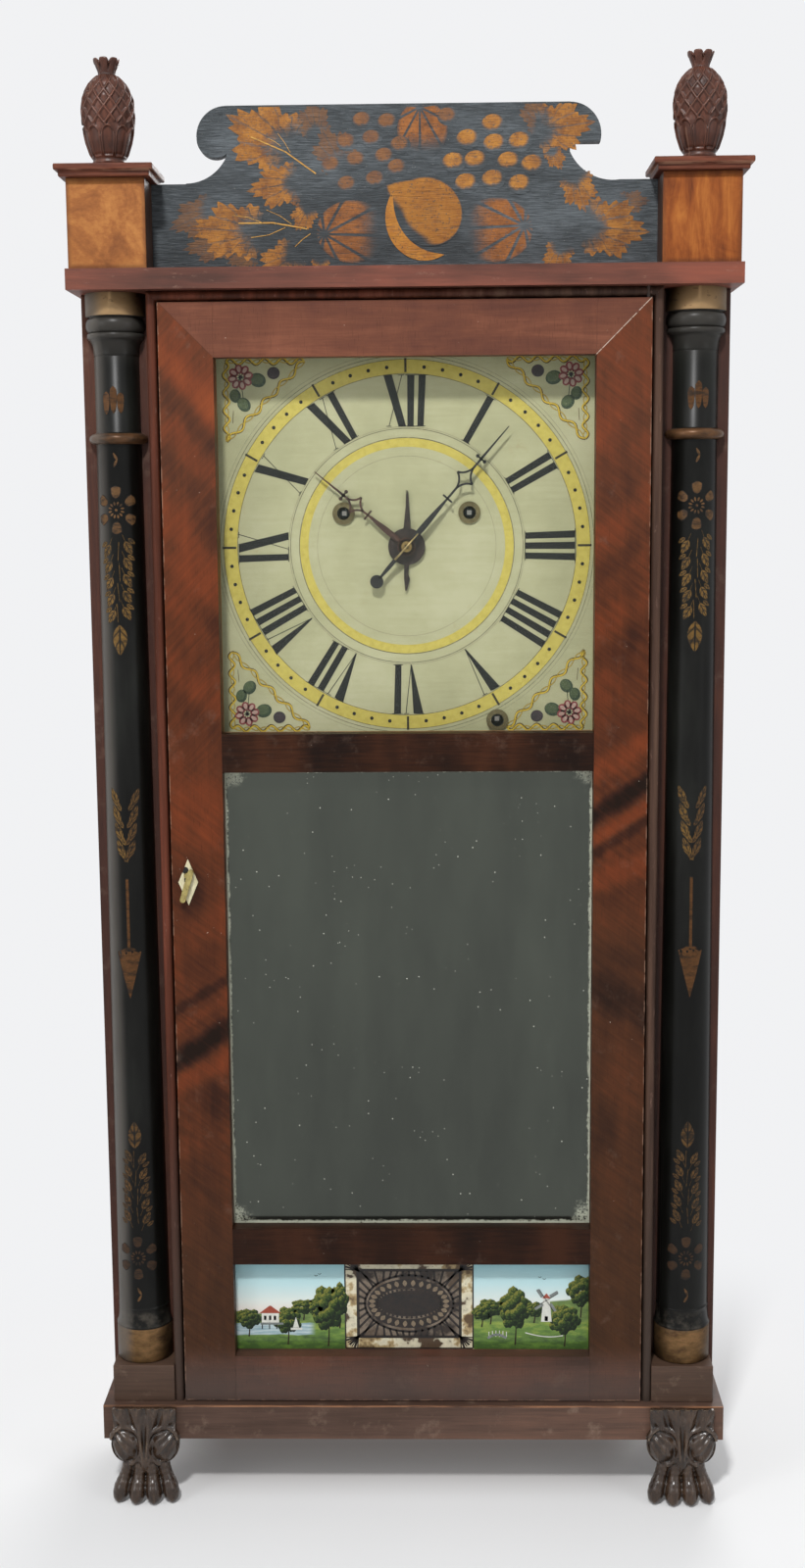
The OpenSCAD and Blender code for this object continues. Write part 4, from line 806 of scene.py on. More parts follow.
# Fruit and leaves from the back to the front: finish, rim, steps around, and each one's place,
# size and turn.
HEAP = (
    ("faint_leaves", stencilled("stencil_faint_leaf", "leaf", "603c20", "7d5226", 0.65),
     vine_leaf, 104, (
        ((-128, 864), (50, 34), 203), ((-118, 846), (50, 30), 190), ((-56, 917), (36, 28), 100),
        ((86, 919), (38, 26), 120), ((142, 868), (30, 20), 5), ((128, 846), (34, 26), -20),
        ((-42, 898), (44, 36), 120), ((-100, 838), (30, 22), 200))),
    ("leaves", stencilled("stencil_leaf", "leaf", "714520", "a06a2a"), vine_leaf, 104, (
        ((-81, 908), (72, 62), 152), ((-75, 882), (52, 38), 190), ((-63, 864), (26, 23), 240),
        ((-103, 853), (72, 50), 176), ((-75, 835), (50, 38), 215), ((-54, 832), (22, 17), 265),
        ((94, 914), (56, 44), 8), ((95, 898), (22, 17), -60), ((110, 880), (38, 31), -72),
        ((125, 853), (64, 52), -6), ((99, 838), (32, 27), -105))),
    ("gourds", stencilled("stencil_gourd", "ribbed", "6b3f1e", "935a28"), whole_round, 48, (
        ((-33, 852), (46, 39), 178), ((58, 852), (48, 40), 2), ((12, 914), (36, 32), 90))),
    ("faint_grapes", stencilled("stencil_faint_grape", "grape", "6a4327", "855529", 0.8),
     whole_round, 28, tuple((at, (13, 11), 0) for at in (
        (-26, 920), (-10, 919), (-36, 907), (-20, 909), (-2, 905), (-46, 893), (-30, 896),
        (-12, 898), (-36, 881), (-18, 884), (-4, 891), (28, 922)))),
    ("grapes", stencilled("stencil_grape", "grape", "845426", "ab742e"), whole_round, 28, tuple(
        (at, (15.2, 12.4), 0) for at in (
            (57, 917), (41, 908), (58, 905), (74, 906), (32, 894), (46, 895), (67, 894),
            (82, 892), (40, 881), (57, 883), (74, 880)))),
    ("pear", stencilled("stencil_pear", "pear", "84511c", "9a6524"), teardrop, 72, (
        ((15, 864), (46, 42), 148),)))
for depth, (name, finish, edge, segments, shapes) in enumerate(HEAP):
    bm = bmesh.new()
    for k, (at, size, turn) in enumerate(shapes):
        lift = 0.10 + 0.04 * depth + 0.002 * k
        cut_round(bm, edge, on_face(SPLAT_FACE - lift), at, size, turn, segments)
    for height, way in ((SPLAT_HIGH, 1), (SPLAT_LOW, -1)):
        bmesh.ops.bisect_plane(bm, geom=bm.verts[:] + bm.edges[:] + bm.faces[:], dist=1e-6,
                               plane_co=(0, 0, height * MM), plane_no=(0, 0, way),
                               clear_outer=True)
    added("splat_" + name, bm, finish, "case", False)


def crescent(co):
    """A point of a slice's curve, which is cut in to a hollow inner edge."""
    hollow = 0.36 * (1 - co.x * co.x) ** 0.8
    return polar(222 + 78 * co.x, 1 - hollow * (0.5 - co.y / 2))


slice_cut = bmesh.new()
made = bmesh.ops.create_grid(slice_cut, x_segments=30, y_segments=4, size=1.0)
lay_cut(slice_cut, made, crescent, on_face(SPLAT_FACE - 0.36), (13, 860.5), (50, 54), 0)
bmesh.ops.recalc_face_normals(slice_cut, faces=slice_cut.faces)
added("splat_slice", slice_cut, stencilled("stencil_slice", "slice", "965e22", "b07628"), "case",
      False)

# Bright ribs of the leaves: both ends, how far the middle is bent out, and the width
RIBS = (((-97, 911), (-56, 888), 2.5, 0.8), ((-86, 910), (-78, 905), 0.5, 0.35),
        ((-80, 913), (-72, 901), 0.5, 0.35), ((-106, 858), (-62, 854), 2.0, 0.9),
        ((-98, 849), (-76, 855), -1.5, 0.45), ((-88, 866), (-72, 857), 1.0, 0.35),
        ((-70, 843), (-60, 851), 0.5, 0.45), ((-110, 863), (-90, 858), 1.0, 0.35))
ribs = bmesh.new()
for start, end, bow, wide in RIBS:
    start, end = Vector(start), Vector(end)
    bend = (start + end) / 2 + (end - start).orthogonal().normalized() * bow
    for p, q in ((start, bend), (bend, end)):
        part = q - p
        stamp(ribs, bar, on_face(SPLAT_FACE - 0.38), (p + q) / 2, (part.length, wide),
              math.degrees(math.atan2(part.y, part.x)), (4, 1))
added("splat_ribs", ribs, stencilled("stencil_rib", "slice", "b08038", "c89a4a", 0.9), "case",
      False)

# Pedestals and caps
# Two small boxes veneered in bright figured birch at the front, under stepped mahogany
# caps that are glued on.
PEDESTAL_FRONT = FACE - 4.2
PEDESTAL_X = 186.2
PEDESTAL_MIDDLE = 854.7
CAP_EDGE = 886.2
f = Finish("figured_veneer", specular=0.2)
x, y, z = f.here()
curl = f.noise(0.045, (1, 1, 0.8), warp=1.0, turn=35)
streaks = f.noise(0.14, (1, 1, 0.16), rough=0.7, warp=0.5)
fleck = f.noise(0.5, (0.6, 1, 1), rough=0.7)
left = f.ramp(curl * 0.75 + fleck * 0.25, (0.34, "6f4122"), (0.5, "90592d"), (0.66, "b0763f"))
right = f.ramp(streaks * 0.65 + curl * 0.35, (0.34, "5c2c10"), (0.5, "84461b"),
               (0.66, "a3622a"))
rim = (abs(abs(x) - PEDESTAL_X) + fleck * 2).rise(22.5, 25.5).most(
    (abs(z - PEDESTAL_MIDDLE) + fleck * 2).rise(25.0, 28.0))
front = f.coats(left, (x.rise(-1, 1), right), (rim * 0.55, "4a2716"))
sides = f.ramp(streaks, (0.35, "2e1e17"), (0.65, "4a3226"))
on_front = y.rise(PEDESTAL_FRONT + 0.8, PEDESTAL_FRONT + 0.5)
f.feed(f.mix(on_front, sides, front), 0.36 + fleck * 0.18, Normal=f.bump(fleck, 0.25))
eased("pedestals", f.material, width=0.5)
f = Finish("cap_mahogany", specular=0.15)
x, y, z = f.here()
run = f.noise(0.3, (0.08, 0.3, 1), rough=0.65, warp=0.4)
fibre = f.noise(1.1, (0.05, 0.2, 1), rough=0.7)
colour = f.ramp(run * 0.6 + fibre * 0.4, (0.38, "3d2118"), (0.5, "572f22"), (0.62, "70402e"))
worn = abs(z - CAP_EDGE).rise(1.0, 0.2) * f.noise(0.2, (0.2, 0.2, 1), 4.0, 0.5).rise(0.4, 0.6)
f.feed(f.mix(worn * 0.6, colour, "a57a62"), 0.40 + fibre * 0.2,
       Normal=f.bump(fibre, 0.4, 0.0004))
eased("pedestal_caps", f.material, width=0.8)

# Finials
# Pineapples turned from mahogany and then carved: a neck ring, round-topped panels, sunk
# diamonds between thin ridges, and a crown of short leaves. Each stands on a peg in its cap.
CAP_TOP = 890.1
FINIAL_Y = FACE + 15.3
DIAMONDS = 13
PANELS = 10
CROWN_WAVES = 3.5
TURNED_BY = 0.13
DIP_LOW, DIP_DEPTH = 64, 2.3
PANEL_LOW, PANEL_HIGH = 7, 27
NET_HIGH = 56.5
CROWN_LOW = 59
PINE_NECK = ((0.01, 0.05), (9.7, 0.05), (9.9, 0.8), (9.8, 2.0), (10.4, 3.0), (10.6, 4.0),
             (10.3, 5.0), (9.9, 5.6))
PINE_BODY = ((0.0, 10.4), (0.06, 12.4), (0.2, 14.8), (0.35, 16.4), (0.5, 17.05), (0.6, 17.05),
             (0.72, 16.4), (0.82, 14.6), (0.9, 12.2), (0.96, 9.4), (1.0, 7.0))
PINE_CROWN = ((5.6, 57.4), (5.5, 58.2), (5.7, 59.0), (6.0, 60), (6.4, 61), (6.8, 62), (7.2, 63),
              (7.6, 64), (8.0, 65), (8.4, 66.2), (8.5, 67.1), (7.8, 67.2), (6.8, 65.8),
              (5.6, 64.4), (4.0, 63.2), (2.0, 62.4), (0.01, 62.2))


def clamp(value):
    """A value held between 0 and 1."""
    return max(0.0, min(1.0, value))


def pineapple_outline():
    """Radius and height, with enough rings up the body for the carving."""
    line = list(PINE_NECK)
    for k in range(1, 90):
        t = k / 90
        for (t0, r0), (t1, r1) in zip(PINE_BODY, PINE_BODY[1:]):
            if t0 <= t < t1:
                line.append((r0 + (r1 - r0) * (t - t0) / (t1 - t0), 6 + 51 * t))
    return line + list(PINE_CROWN)


def carve(a, z, r):
    """How far the carver's cuts lie under the turned surface at angle a and height z."""
    if z < PANEL_LOW:
        return 0.0
    if z < PANEL_HIGH:
        off = abs((a * PANELS / math.tau) % 1 - 0.5)
        rim = min((0.5 - off) * 9.6, 25.5 - 7 * (off * 2) ** 2.4 - z)
        if rim > 0:
            seam = 0.9 * max(0.0, 1 - rim / 0.35)
            return seam + 1.3 * clamp((rim - 1.1) / 0.5) * min(1.0, (z - PANEL_LOW) / 1.2)
        off = abs((a * PANELS / math.tau + 0.5) % 1 - 0.5)
        if z < 27.5 - 7 * (off * 2) ** 2:
            return 1.5
    if z < NET_HIGH:
        one = (a * DIAMONDS / math.tau + z / 10.4) % 1
        two = (a * DIAMONDS / math.tau - z / 10.4) % 1
        inside = 0.5 - max(abs(one - 0.5), abs(two - 0.5))
        low_end = 0.5 - (one - two) / 2
        return 2.3 * min(1.0, r / 14) * clamp((inside - 0.07) / 0.06) * (0.35 + 0.65 * low_end)
    if z > CROWN_LOW:
        lobe = abs(math.cos(a * CROWN_WAVES))
        return 1.3 * (1 - min(1.0, lobe / 0.5)) * min(1.0, (z - CROWN_LOW) / 3)
    return 0.0


f = Finish("carved_mahogany", specular=0.35)
streak = f.noise(0.35, (1, 1, 0.12), rough=0.65)
broad = f.noise(0.07, EVEN, 3.0, 0.5)
height = f.hollows()
# Painted shade in the carved hollows, and a painted highlight on the sharp ridges.
hollow = height.rise(0.50, 0.42)
tone = f.ramp(streak * 0.5 + broad * 0.5, (0.35, "331a11"), (0.5, "4a281b"), (0.66, "613829"))
f.feed(f.coats(tone, (hollow * 0.9, "150b08"), (height.rise(0.53, 0.62) * 0.45, "80604f")),
       0.30 + streak * 0.16 + hollow * 0.25)
for side, hand in SIDES:
    bm = turned(pineapple_outline(), 0.0, math.tau, 260)
    for v in bm.verts:
        x, y, z = v.co / MM
        r = math.hypot(x, y)
        if r < 0.5:
            continue
        a = math.atan2(y, x) + side * TURNED_BY
        kept = (r - carve(a, z, r)) / r
        if z > DIP_LOW:
            z -= DIP_DEPTH * (1 - abs(math.cos(a * CROWN_WAVES))) ** 2 * min(1.0, r / 6)
        v.co = Vector((x * kept, y * kept, z)) * MM
    moved(bm, side * PEDESTAL_X, FINIAL_Y, CAP_TOP)
    finial = added("pineapple_" + hand, bm, f.material, "case")
    if side < 0:
        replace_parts(finial, "finials")

# Front feet
# Carved from the solid: a spray of leaves between two round side lobes, an ankle, and a paw
# with four long toes. Each is screwed to the front of the base.
FOOT_X = 184.0
FOOT_FRONT = FACE - 18.9
BASE_FRONT = FACE - 6.3
LOBE = (13.2, 41.0)
LOBE_SIZE = (10.6, 13.6)
LEAF_LOW = 30
BRACKET_LOW = 44
TOE = ((29, 0.0, 4.4), (25, 1.6, 5.0), (21, 2.6, 4.7), (17, 3.6, 4.9), (13, 5.2, 5.7),
       (9.5, 6.4, 6.2), (6.5, 7.0, 6.0), (5, 7.6, 5.4))


def ball(bm, centre, size):
    """A stretched ball, the carver's rough form of a swelling."""
    made = bmesh.ops.create_icosphere(bm, subdivisions=3, radius=1.0)
    bmesh.ops.transform(bm, matrix=Matrix.Scale(MM, 4) @ Matrix.Translation(centre)
                        @ Matrix.Diagonal((*size, 1)), verts=made["verts"])


def slab(bm, low, high, taper):
    """A block between two corners, narrowed at its foot by taper."""
    made = bmesh.ops.create_cube(bm, size=1.0)
    low, high = Vector(low), Vector(high)
    for v in made["verts"]:
        narrow = Vector((taper if v.co.z < 0 else 1.0, 1, 1))
        v.co = ((low + high) / 2 + v.co * (high - low) * narrow) * MM


def foot_rough():
    """The blocked-out foot around x = 0, before the fine carving."""
    bm = bmesh.new()
    slab(bm, (-22, FACE - 12.0, 46), (22, BASE_FRONT, 67.6), 0.95)
    slab(bm, (-19, FACE - 10, 36), (19, FACE + 14, 43.8), 0.8)
    slab(bm, (-13, FACE - 5, 16), (13, FACE + 17, 38), 0.9)
    ball(bm, (0, FACE - 8, 44), (7.0, 7.4, 24))
    for side, _ in SIDES:
        ball(bm, (side * LOBE[0], FACE - 6, LOBE[1]), (LOBE_SIZE[0], 9.6, LOBE_SIZE[1]))
        ball(bm, (side * 11.5, FACE + 4, 38), (11.0, 10, 8.5))
        for degrees in range(-70, 160, 8):
            a = math.radians(degrees)
            across = LOBE[0] - LOBE_SIZE[0] * math.cos(a)
            up_by = LOBE[1] + (LOBE_SIZE[1] + 0.5) * math.sin(a)
            ball(bm, (side * across, FACE - 11.2 + 2.2 * abs(math.sin(a)), up_by),
                 (2.1, 3.2, 2.1))
    for i in (-1.5, -0.5, 0.5, 1.5):
        inner = abs(i) < 1
        for height, out_by, r in TOE:
            splay = 7.3 + 4.9 * (29 - height) / 25
            forward = out_by * (1.0 if inner else 0.6)
            ball(bm, (i * splay, FACE - 4.5 - forward, height), (r * 0.92, r * 1.15, r))
        ball(bm, (i * 12.4, FACE - 5.6 - (8.6 if inner else 5.6), 4.2), (2.6, 4.6, 4.0))
    return bm


def foot_cut(x, z):
    """How far the leaf work lies under the front of the bracket."""
    if z < LEAF_LOW:
        return 0.0
    lobe = math.hypot((abs(x) - LOBE[0]) / LOBE_SIZE[0], (z - LOBE[1]) / LOBE_SIZE[1])
    if lobe < 0.92:
        fan = math.atan2(z - 60, abs(x) - 30)
        return 0.9 + 0.6 * math.cos(fan * 26)
    if lobe < 1.08:
        return 0.0
    fan = math.atan2(x, z - 22) * 24
    cut = 2.9 * (0.5 + 0.5 * math.cos(fan)) ** 1.5 * min(1.0, (z - LEAF_LOW) / 12)
    if z > 60:
        tip = abs((fan / math.tau) % 1 - 0.5)
        cut += 2.4 * max(0.0, (z - 61) / 6) * (1 - min(1.0, tip / 0.3))
    return cut


f = Finish("carved_foot")
height = f.hollows()
streak = f.noise(0.3, (1, 1, 0.26), rough=0.65)
broad = f.noise(0.05)
tone = f.ramp(streak * 0.5 + broad * 0.5, (0.35, "22160e"), (0.5, "35261b"), (0.66, "4b392b"))
# Painted shade in the carved hollows, and a painted highlight on the sharp ridges.
f.feed(f.coats(tone, (height.rise(0.50, 0.43) * 0.9, "0b0807"),
               (height.rise(0.52, 0.60) * 0.7, "8c7861")), 0.16 + streak * 0.2)
for side, hand in SIDES:
    rough = new_piece("foot_rough", foot_rough(), f.material)
    remesh = rough.modifiers.new("one_block", "REMESH")
    remesh.mode = "VOXEL"
    remesh.voxel_size = 0.7 * MM
    graph = bpy.context.evaluated_depsgraph_get()
    bm = bmesh.new()
    bm.from_mesh(bpy.data.meshes.new_from_object(rough.evaluated_get(graph)))
    bpy.data.objects.remove(rough)
    for _ in range(2):
        bmesh.ops.smooth_vert(bm, verts=bm.verts, factor=0.5, use_axis_x=True, use_axis_y=True,
                              use_axis_z=True)
    for v in bm.verts:
        x, y, z = v.co / MM
        facing = max(0.0, -v.normal.y) ** 0.5 + 0.35 * abs(v.normal.x)
        cut = foot_cut(x, z) * facing if y < FACE + 2 else 0
        y = max(y + cut, FOOT_FRONT)
        if z > BRACKET_LOW:
            y = min(y, BASE_FRONT)
        v.co = Vector((side * FOOT_X + x, y, max(z, 0.0))) * MM
    bmesh.ops.recalc_face_normals(bm, faces=bm.faces)
    foot = added("paw_" + hand, bm, f.material, "case")
    if side < 0:
        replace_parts(foot, "front_feet")

# Rear feet
# Plain pegs turned from mahogany, one under each back corner, glued to the floor board of
# the base. They stay as plain solids with a finish.
paint(wood("turned_mahogany", UPRIGHT, "4d3328", "3a261e", "281913"), "rear_feet")

# Dial board
# A cream-painted wooden board with a gilt minute band and chapter numerals, a smaller gilt
# circle and fine black lines. It is pinned to strips behind the door.
DIAL = Vector((0, FACE + 28, 651.8))
GILT_RINGS = ((111.4, 120.3), (64.6, 70.2))
HAIRLINES = ((76.2, 0.35), (77.4, 0.15), (70.3, 0.4), (58.6, 0.12), (111.1, 0.35),
             (120.3, 0.3), (122.6, 0.3), (125.0, 0.12))
NUMERALS = ("XII", "I", "II", "III", "IIII", "V", "VI", "VII", "VIII", "IX", "X", "XI")
WIDTHS = {"I": 6.5, "V": 12.2, "X": 12.6}
INNER, OUTER = 77.8, 110.4
SPREAD = 1.14
THICK = 4.1
HAIR = 0.45
DOT_R, DOT_CIRCLE = 1.2, 115.9
BAR_INNER, BAR_OUTER, BAR_WIDE = 112.2, 121.2, 1.5
f = Finish("dial_ivory", specular=0.3)
x, y, z = f.here()
wash = f.noise(0.014, EVEN, 5.0, 0.65)
brushing = f.noise(0.5, (0.06, 1, 1), 3.0)
speck = f.noise(0.55, rough=0.7).rise(0.68, 0.76)
foxing = f.noise(0.09, EVEN, 5.0, 0.7).rise(0.62, 0.76)
margin = (abs(x) + (wash - 0.5) * 20).rise(104, 134)
colour = f.ramp(wash * 0.8 + brushing * 0.2, (0.36, "9f9f79"), (0.5, "aaa983"), (0.64, "b4b38f"))
f.feed(f.coats(colour, (margin * 0.4, "96936e"), (foxing * 0.3, "9c8757"), (speck * 0.4, "6b5d45")),
       0.5 + wash * 0.1, Normal=f.bump(brushing, 0.15))
paint(f.material, "dial_board")


def old_paint(name, code, worn, rough=0.45, chips=0.64):
    """Brushed paint, worn through in pale specks."""
    f = Finish(name, specular=0.3)
    brush = f.noise(0.3, rough=0.7)
    gaps = f.noise(0.8, rough=0.75).rise(chips, chips + 0.08)
    colour = f.mix(brush.rise(0.35, 0.7) * 0.6, code, worn)
    return f.feed(f.mix(gaps * 0.6, colour, "bdb993"), rough + brush * 0.1)


def ring(bm, inner, outer, steps=180):
    """A flat ring around the middle, spun from one edge."""
    a = bm.verts.new((inner, 0, 0))
    b = bm.verts.new((outer, 0, 0))
    edge = bm.edges.new((a, b))
    bmesh.ops.spin(bm, geom=[a, b, edge], cent=(0, 0, 0), axis=(0, 0, 1),
                   angle=math.tau, steps=steps, use_merge=True)


def ribbon(bm, path, wide, steps=1, across=None):
    """A flat strip of a width along path(t) from 0 to 1, its ends square to it or along across."""
    grid = bmesh.ops.create_grid(bm, x_segments=steps, y_segments=1, size=1.0)
    for v in grid["verts"]:
        t = (v.co.x + 1) / 2
        run = Vector(path(min(1.0, t + 0.002))) - Vector(path(max(0.0, t - 0.002)))
        away = across or run.orthogonal().normalized()
        half = (wide(t) if callable(wide) else wide) / 2
        v.co = Vector((*(Vector(path(t)) + away * half * v.co.y), 0))


def line(bm, p, q, wide):
    """A straight strip from p to q."""
    ribbon(bm, lambda t: Vector(p).lerp(Vector(q), t), wide)


def spot(bm, at, r, squeeze=1.0, turn=0.0, segments=14):
    """A flat round or oval, turned by an angle."""
    made = bmesh.ops.create_circle(bm, cap_ends=True, segments=segments, radius=r)
    bmesh.ops.scale(bm, verts=made["verts"], vec=(1, squeeze, 1))
    bmesh.ops.rotate(bm, verts=made["verts"], cent=(0, 0, 0), matrix=Matrix.Rotation(turn, 3, "Z"))
    bmesh.ops.translate(bm, verts=made["verts"], vec=(*at, 0))


def laid(bm, place):
    """Lays a flat drawing in x and y on its board, facing out of the front."""
    for v in bm.verts:
        v.co = place(v.co.x, v.co.y)
    bm.normal_update()
    away = [face for face in bm.faces if face.normal.y > 0]
    bmesh.ops.reverse_faces(bm, faces=away)
    return bm


def dial_piece(name, bm, material, lift):
    """Lays a drawing around the dial's middle, a little proud of the board."""
    added(name, laid(bm, on_face(DIAL.y - lift, 0, DIAL.z)), material, "case", False)


gold = bmesh.new()
for inner, outer in GILT_RINGS:
    ring(gold, inner, outer)
dial_piece("dial_gilding", gold, old_paint("dial_gold", "c0b256", "aa9b44", 0.42, 0.68), 0.06)
lines = bmesh.new()
for r, wide in HAIRLINES:
    ring(lines, r, r + wide)
dial_piece("dial_hairlines", lines, old_paint("dial_hairline", "35301f", "5a553c", 0.5, 0.54), 0.09)


def radial(angle, across, out_by):
    """A point of the chapter ring: clockwise angle from the top, offset across, radius."""
    a = math.radians(angle)
    return Vector((out_by * math.sin(a) + across * math.cos(a),
                   out_by * math.cos(a) - across * math.sin(a)))


def stroke(bm, angle, inside, outside, thick, broad=None):
    """A stroke from an offset at the inner end to one at the outer end, seen upright.

    It is thick at the inner end and, where given, broad at the outer one."""
    broad = (broad or thick) * SPREAD
    ribbon(bm, lambda t: radial(angle, inside + (outside * SPREAD - inside) * t,
                                INNER + (OUTER - INNER) * t),
           lambda t: thick + (broad - thick) * t, 1, radial(angle, 1, 0))


def serif(bm, angle, r, low, high):
    """A fine line across the end of a stroke, at the inner or the outer radius."""
    k = SPREAD if r == OUTER else 1.0
    line(bm, radial(angle, low * k, r), radial(angle, high * k, r), HAIR)


numerals = bmesh.new()
for hour, text in enumerate(NUMERALS):
    angle = 30 * hour
    cursor = -sum(WIDTHS[c] for c in text) / 2
    for letter in text:
        middle = cursor + WIDTHS[letter] / 2
        cursor += WIDTHS[letter]
        if letter == "I":
            stroke(numerals, angle, middle, middle, THICK)
            ends = ((INNER, -3.2, 3.2), (OUTER, -3.2, 3.2))
        elif letter == "V":
            stroke(numerals, angle, middle + 0.9, middle - 2.9, 0.9, 5.8)
            stroke(numerals, angle, middle + 0.9, middle + 4.4, HAIR)
            ends = ((OUTER, -6.2, -1.0), (OUTER, 2.4, 5.8))
        else:
            stroke(numerals, angle, middle + 4.2, middle - 3.6, THICK * 1.2)
            stroke(numerals, angle, middle - 4.4, middle + 4.4, HAIR)
            ends = ((OUTER, -6.2, -1.0), (OUTER, 2.4, 5.8), (INNER, -6.2, -2.8), (INNER, 1.6, 6.6))
        for r, low, high in ends:
            serif(numerals, angle, r, middle + low, middle + high)
for minute in range(60):
    if minute % 5:
        spot(numerals, radial(6 * minute, 0, DOT_CIRCLE), DOT_R)
dial_piece("dial_numerals", numerals, old_paint("numeral_black", "0b0b09", "12120d", chips=0.76),
           0.12)
bars = bmesh.new()
for hour in range(12):
    line(bars, radial(30 * hour, 0, BAR_INNER), radial(30 * hour, 0, BAR_OUTER), BAR_WIDE)
dial_piece("dial_hour_bars", bars, old_paint("hour_bar", "252012", "3b351f", chips=0.66), 0.12)

# Dial corners
# In each corner a triangle of wavy gold lines, shaded brown, holds a red flower with pale
# petals, green leaves and plum-coloured buds.
ROPE = 51.0
WAVES = 4.5
BLOSSOM = 8
CORNER = Vector((116.5, 120.0))
HEART = Vector((107.2, 110.0))
LEAVES = ((-11.2, -2.0, 5.4, 0.3), (3.6, -12.0, 4.4, 1.4), (-2.0, -17.6, 4.9, 0.9))
CORNER_PAINTS = {
    "corner_brown": ("463410", "5a4518", 0.10), "corner_gold": ("bd9f2a", "d6bd4c", 0.13),
    "corner_green": ("424f34", "596541", 0.12), "corner_dark_green": ("2b3a29", "3c4a32", 0.10),
    "corner_red": ("7b3537", "914a4b", 0.14), "corner_pink": ("b5988a", "a07b72", 0.17),
    "corner_plum": ("2e2a2c", "45353a", 0.15)}


def wave(start, end, size, phase):
    """A path that winds from side to side about the straight way between two places."""
    away = (end - start).orthogonal().normalized() * size
    return lambda t: start.lerp(end, t) + away * math.sin(math.tau * WAVES * t + phase)


brown, gold, green, dark_green, red, pink, plum = drawn = [bmesh.new() for _ in CORNER_PAINTS]
for sx, sz in ((-1, 1), (1, 1), (-1, -1), (1, -1)):
    mirrored = Vector((sx, sz))
    corner = mirrored * CORNER
    ends = (corner, corner - Vector((0, ROPE * sz)), corner - Vector((ROPE * sx, 0)))
    shade = mirrored * Vector((0.3, -0.3))
    for p, q in ((0, 1), (0, 2), (1, 2)):
        ribbon(brown, wave(ends[p] + shade, ends[q] + shade, 1.9, 0.0), 1.75, 70)
        ribbon(gold, wave(ends[p], ends[q], 1.9, 0.0), 1.0, 70)
        ribbon(brown, wave(ends[p], ends[q], 1.1, 2.6), 0.7, 70)
        ribbon(gold, wave(ends[p], ends[q], 1.1, 2.6), 0.35, 70)
    heart = mirrored * HEART
    for k in range(BLOSSOM):
        a = math.tau * k / BLOSSOM + 0.2
        step = Vector((math.cos(a), math.sin(a)))
        spot(red, heart + 5.2 * step, 3.1, 0.84, a)
        spot(pink, heart + 5.3 * step, 2.0, 0.62, a)
        line(plum, heart, heart + 4.6 * step, 0.35)
    spot(plum, heart, 1.3)
    for dx, dz, r, turn in LEAVES:
        at = heart + mirrored * Vector((dx, dz))
        spot(dark_green, at, r, 0.84, turn * sx * sz)
        spot(green, at + Vector((-0.6, 0.7)), r * 0.78, 0.78, turn * sx * sz)
        line(dark_green, at, heart, 0.5)
    spot(plum, heart + mirrored * Vector((-21.5, 2.4)), 4.2, 0.95)
    spot(dark_green, heart + mirrored * Vector((-22.4, 3.2)), 2.6, 0.8)
    line(brown, heart + mirrored * Vector((5.0, -21.5)), heart + mirrored * Vector((5.6, -29.5)), 0.4)
for bm, (name, (code, worn, lift)) in zip(drawn, CORNER_PAINTS.items()):
    dial_piece(name, bm, old_paint(name, code, worn, chips=0.66), lift)

# Winding grommets
# Turned brass eyes pressed into the three winding holes of the dial. They are dark with age and
# bright at the rim, and their bores are painted near-black as painted shade.
f = Finish("old_brass")
x, y, z = f.here()
stain = f.noise(0.12, EVEN, 5.0, 0.7)
proud = y.rise(FACE + 27.2, FACE + 26.4)
# Painted shade: the bore is painted near-black.
inside = y.rise(FACE + 28.5, FACE + 30.5)
colour = f.ramp(stain, (0.35, "322d1d"), (0.55, "544c33"), (0.7, "766c48"))
f.feed(f.coats(colour, (proud * 0.4, "b0a270"), (inside * 0.9, "0f0d09")), 0.34 + stain * 0.2,
       Metallic=0.8 - inside * 0.7)
paint(f.material, "winding_grommets")

# Hands
# Cut from sheet iron, the minute hand blued and the hour hand browned, each pierced with an
# open diamond. A brass collet and a taper pin hold them. The alarm disc has its own pointer.
MINUTE_ANGLE, HOUR_ANGLE = 41.0, 309.3


def metal(name, dark, light, rough, shine, size=0.2):
    """Old metal, mottled between two colours."""
    f = Finish(name)
    haze = f.noise(size)
    fine = f.noise(size * 6, EVEN, 3.0, 0.7)
    return f.feed(f.ramp(haze * 0.7 + fine * 0.3, (0.36, dark), (0.62, light)),
                  rough + haze * 0.25, Metallic=shine - fine * 0.1)


def upward(low, high):
    """A path straight up the middle of a hand."""
    return lambda t: Vector((0, low + (high - low) * t))


def hand_shape(length, bar_at, low, high, knobs, hub, bore):
    """The flat shape of a hand that points up: leaf, bar, hollow diamond, knobs, needle."""
    bm = bmesh.new()
    ring(bm, bore, hub, 40)
    ribbon(bm, upward(hub - 0.5, bar_at),
           lambda t: 1.3 + 3.0 * math.sin(math.pi * t ** 0.7) * (1 - 0.3 * t), 16)
    for p, q, wide in (((-3.8, bar_at), (3.8, bar_at), 1.3), ((0, bar_at), (0, low), 1.5),
                       ((0, high), (0, knobs), 1.5), ((-2.6, knobs), (2.6, knobs), 1.1)):
        line(bm, p, q, wide)
    for side, _ in SIDES:
        for end in (low, high):
            p, q = Vector((0, end)), Vector((side * 6.4, (low + high) / 2))
            bend = Vector((0, q.y)).lerp((p + q) / 2, 0.45)
            ribbon(bm, lambda t: p.lerp(bend, t).lerp(bend.lerp(q, t), t), 1.35, 10)
    for x in (-2.9, 0, 2.9):
        spot(bm, (x, knobs), 1.25)
    ribbon(bm, upward(knobs, length), lambda t: 1.7 - 1.1 * t)
    return bm


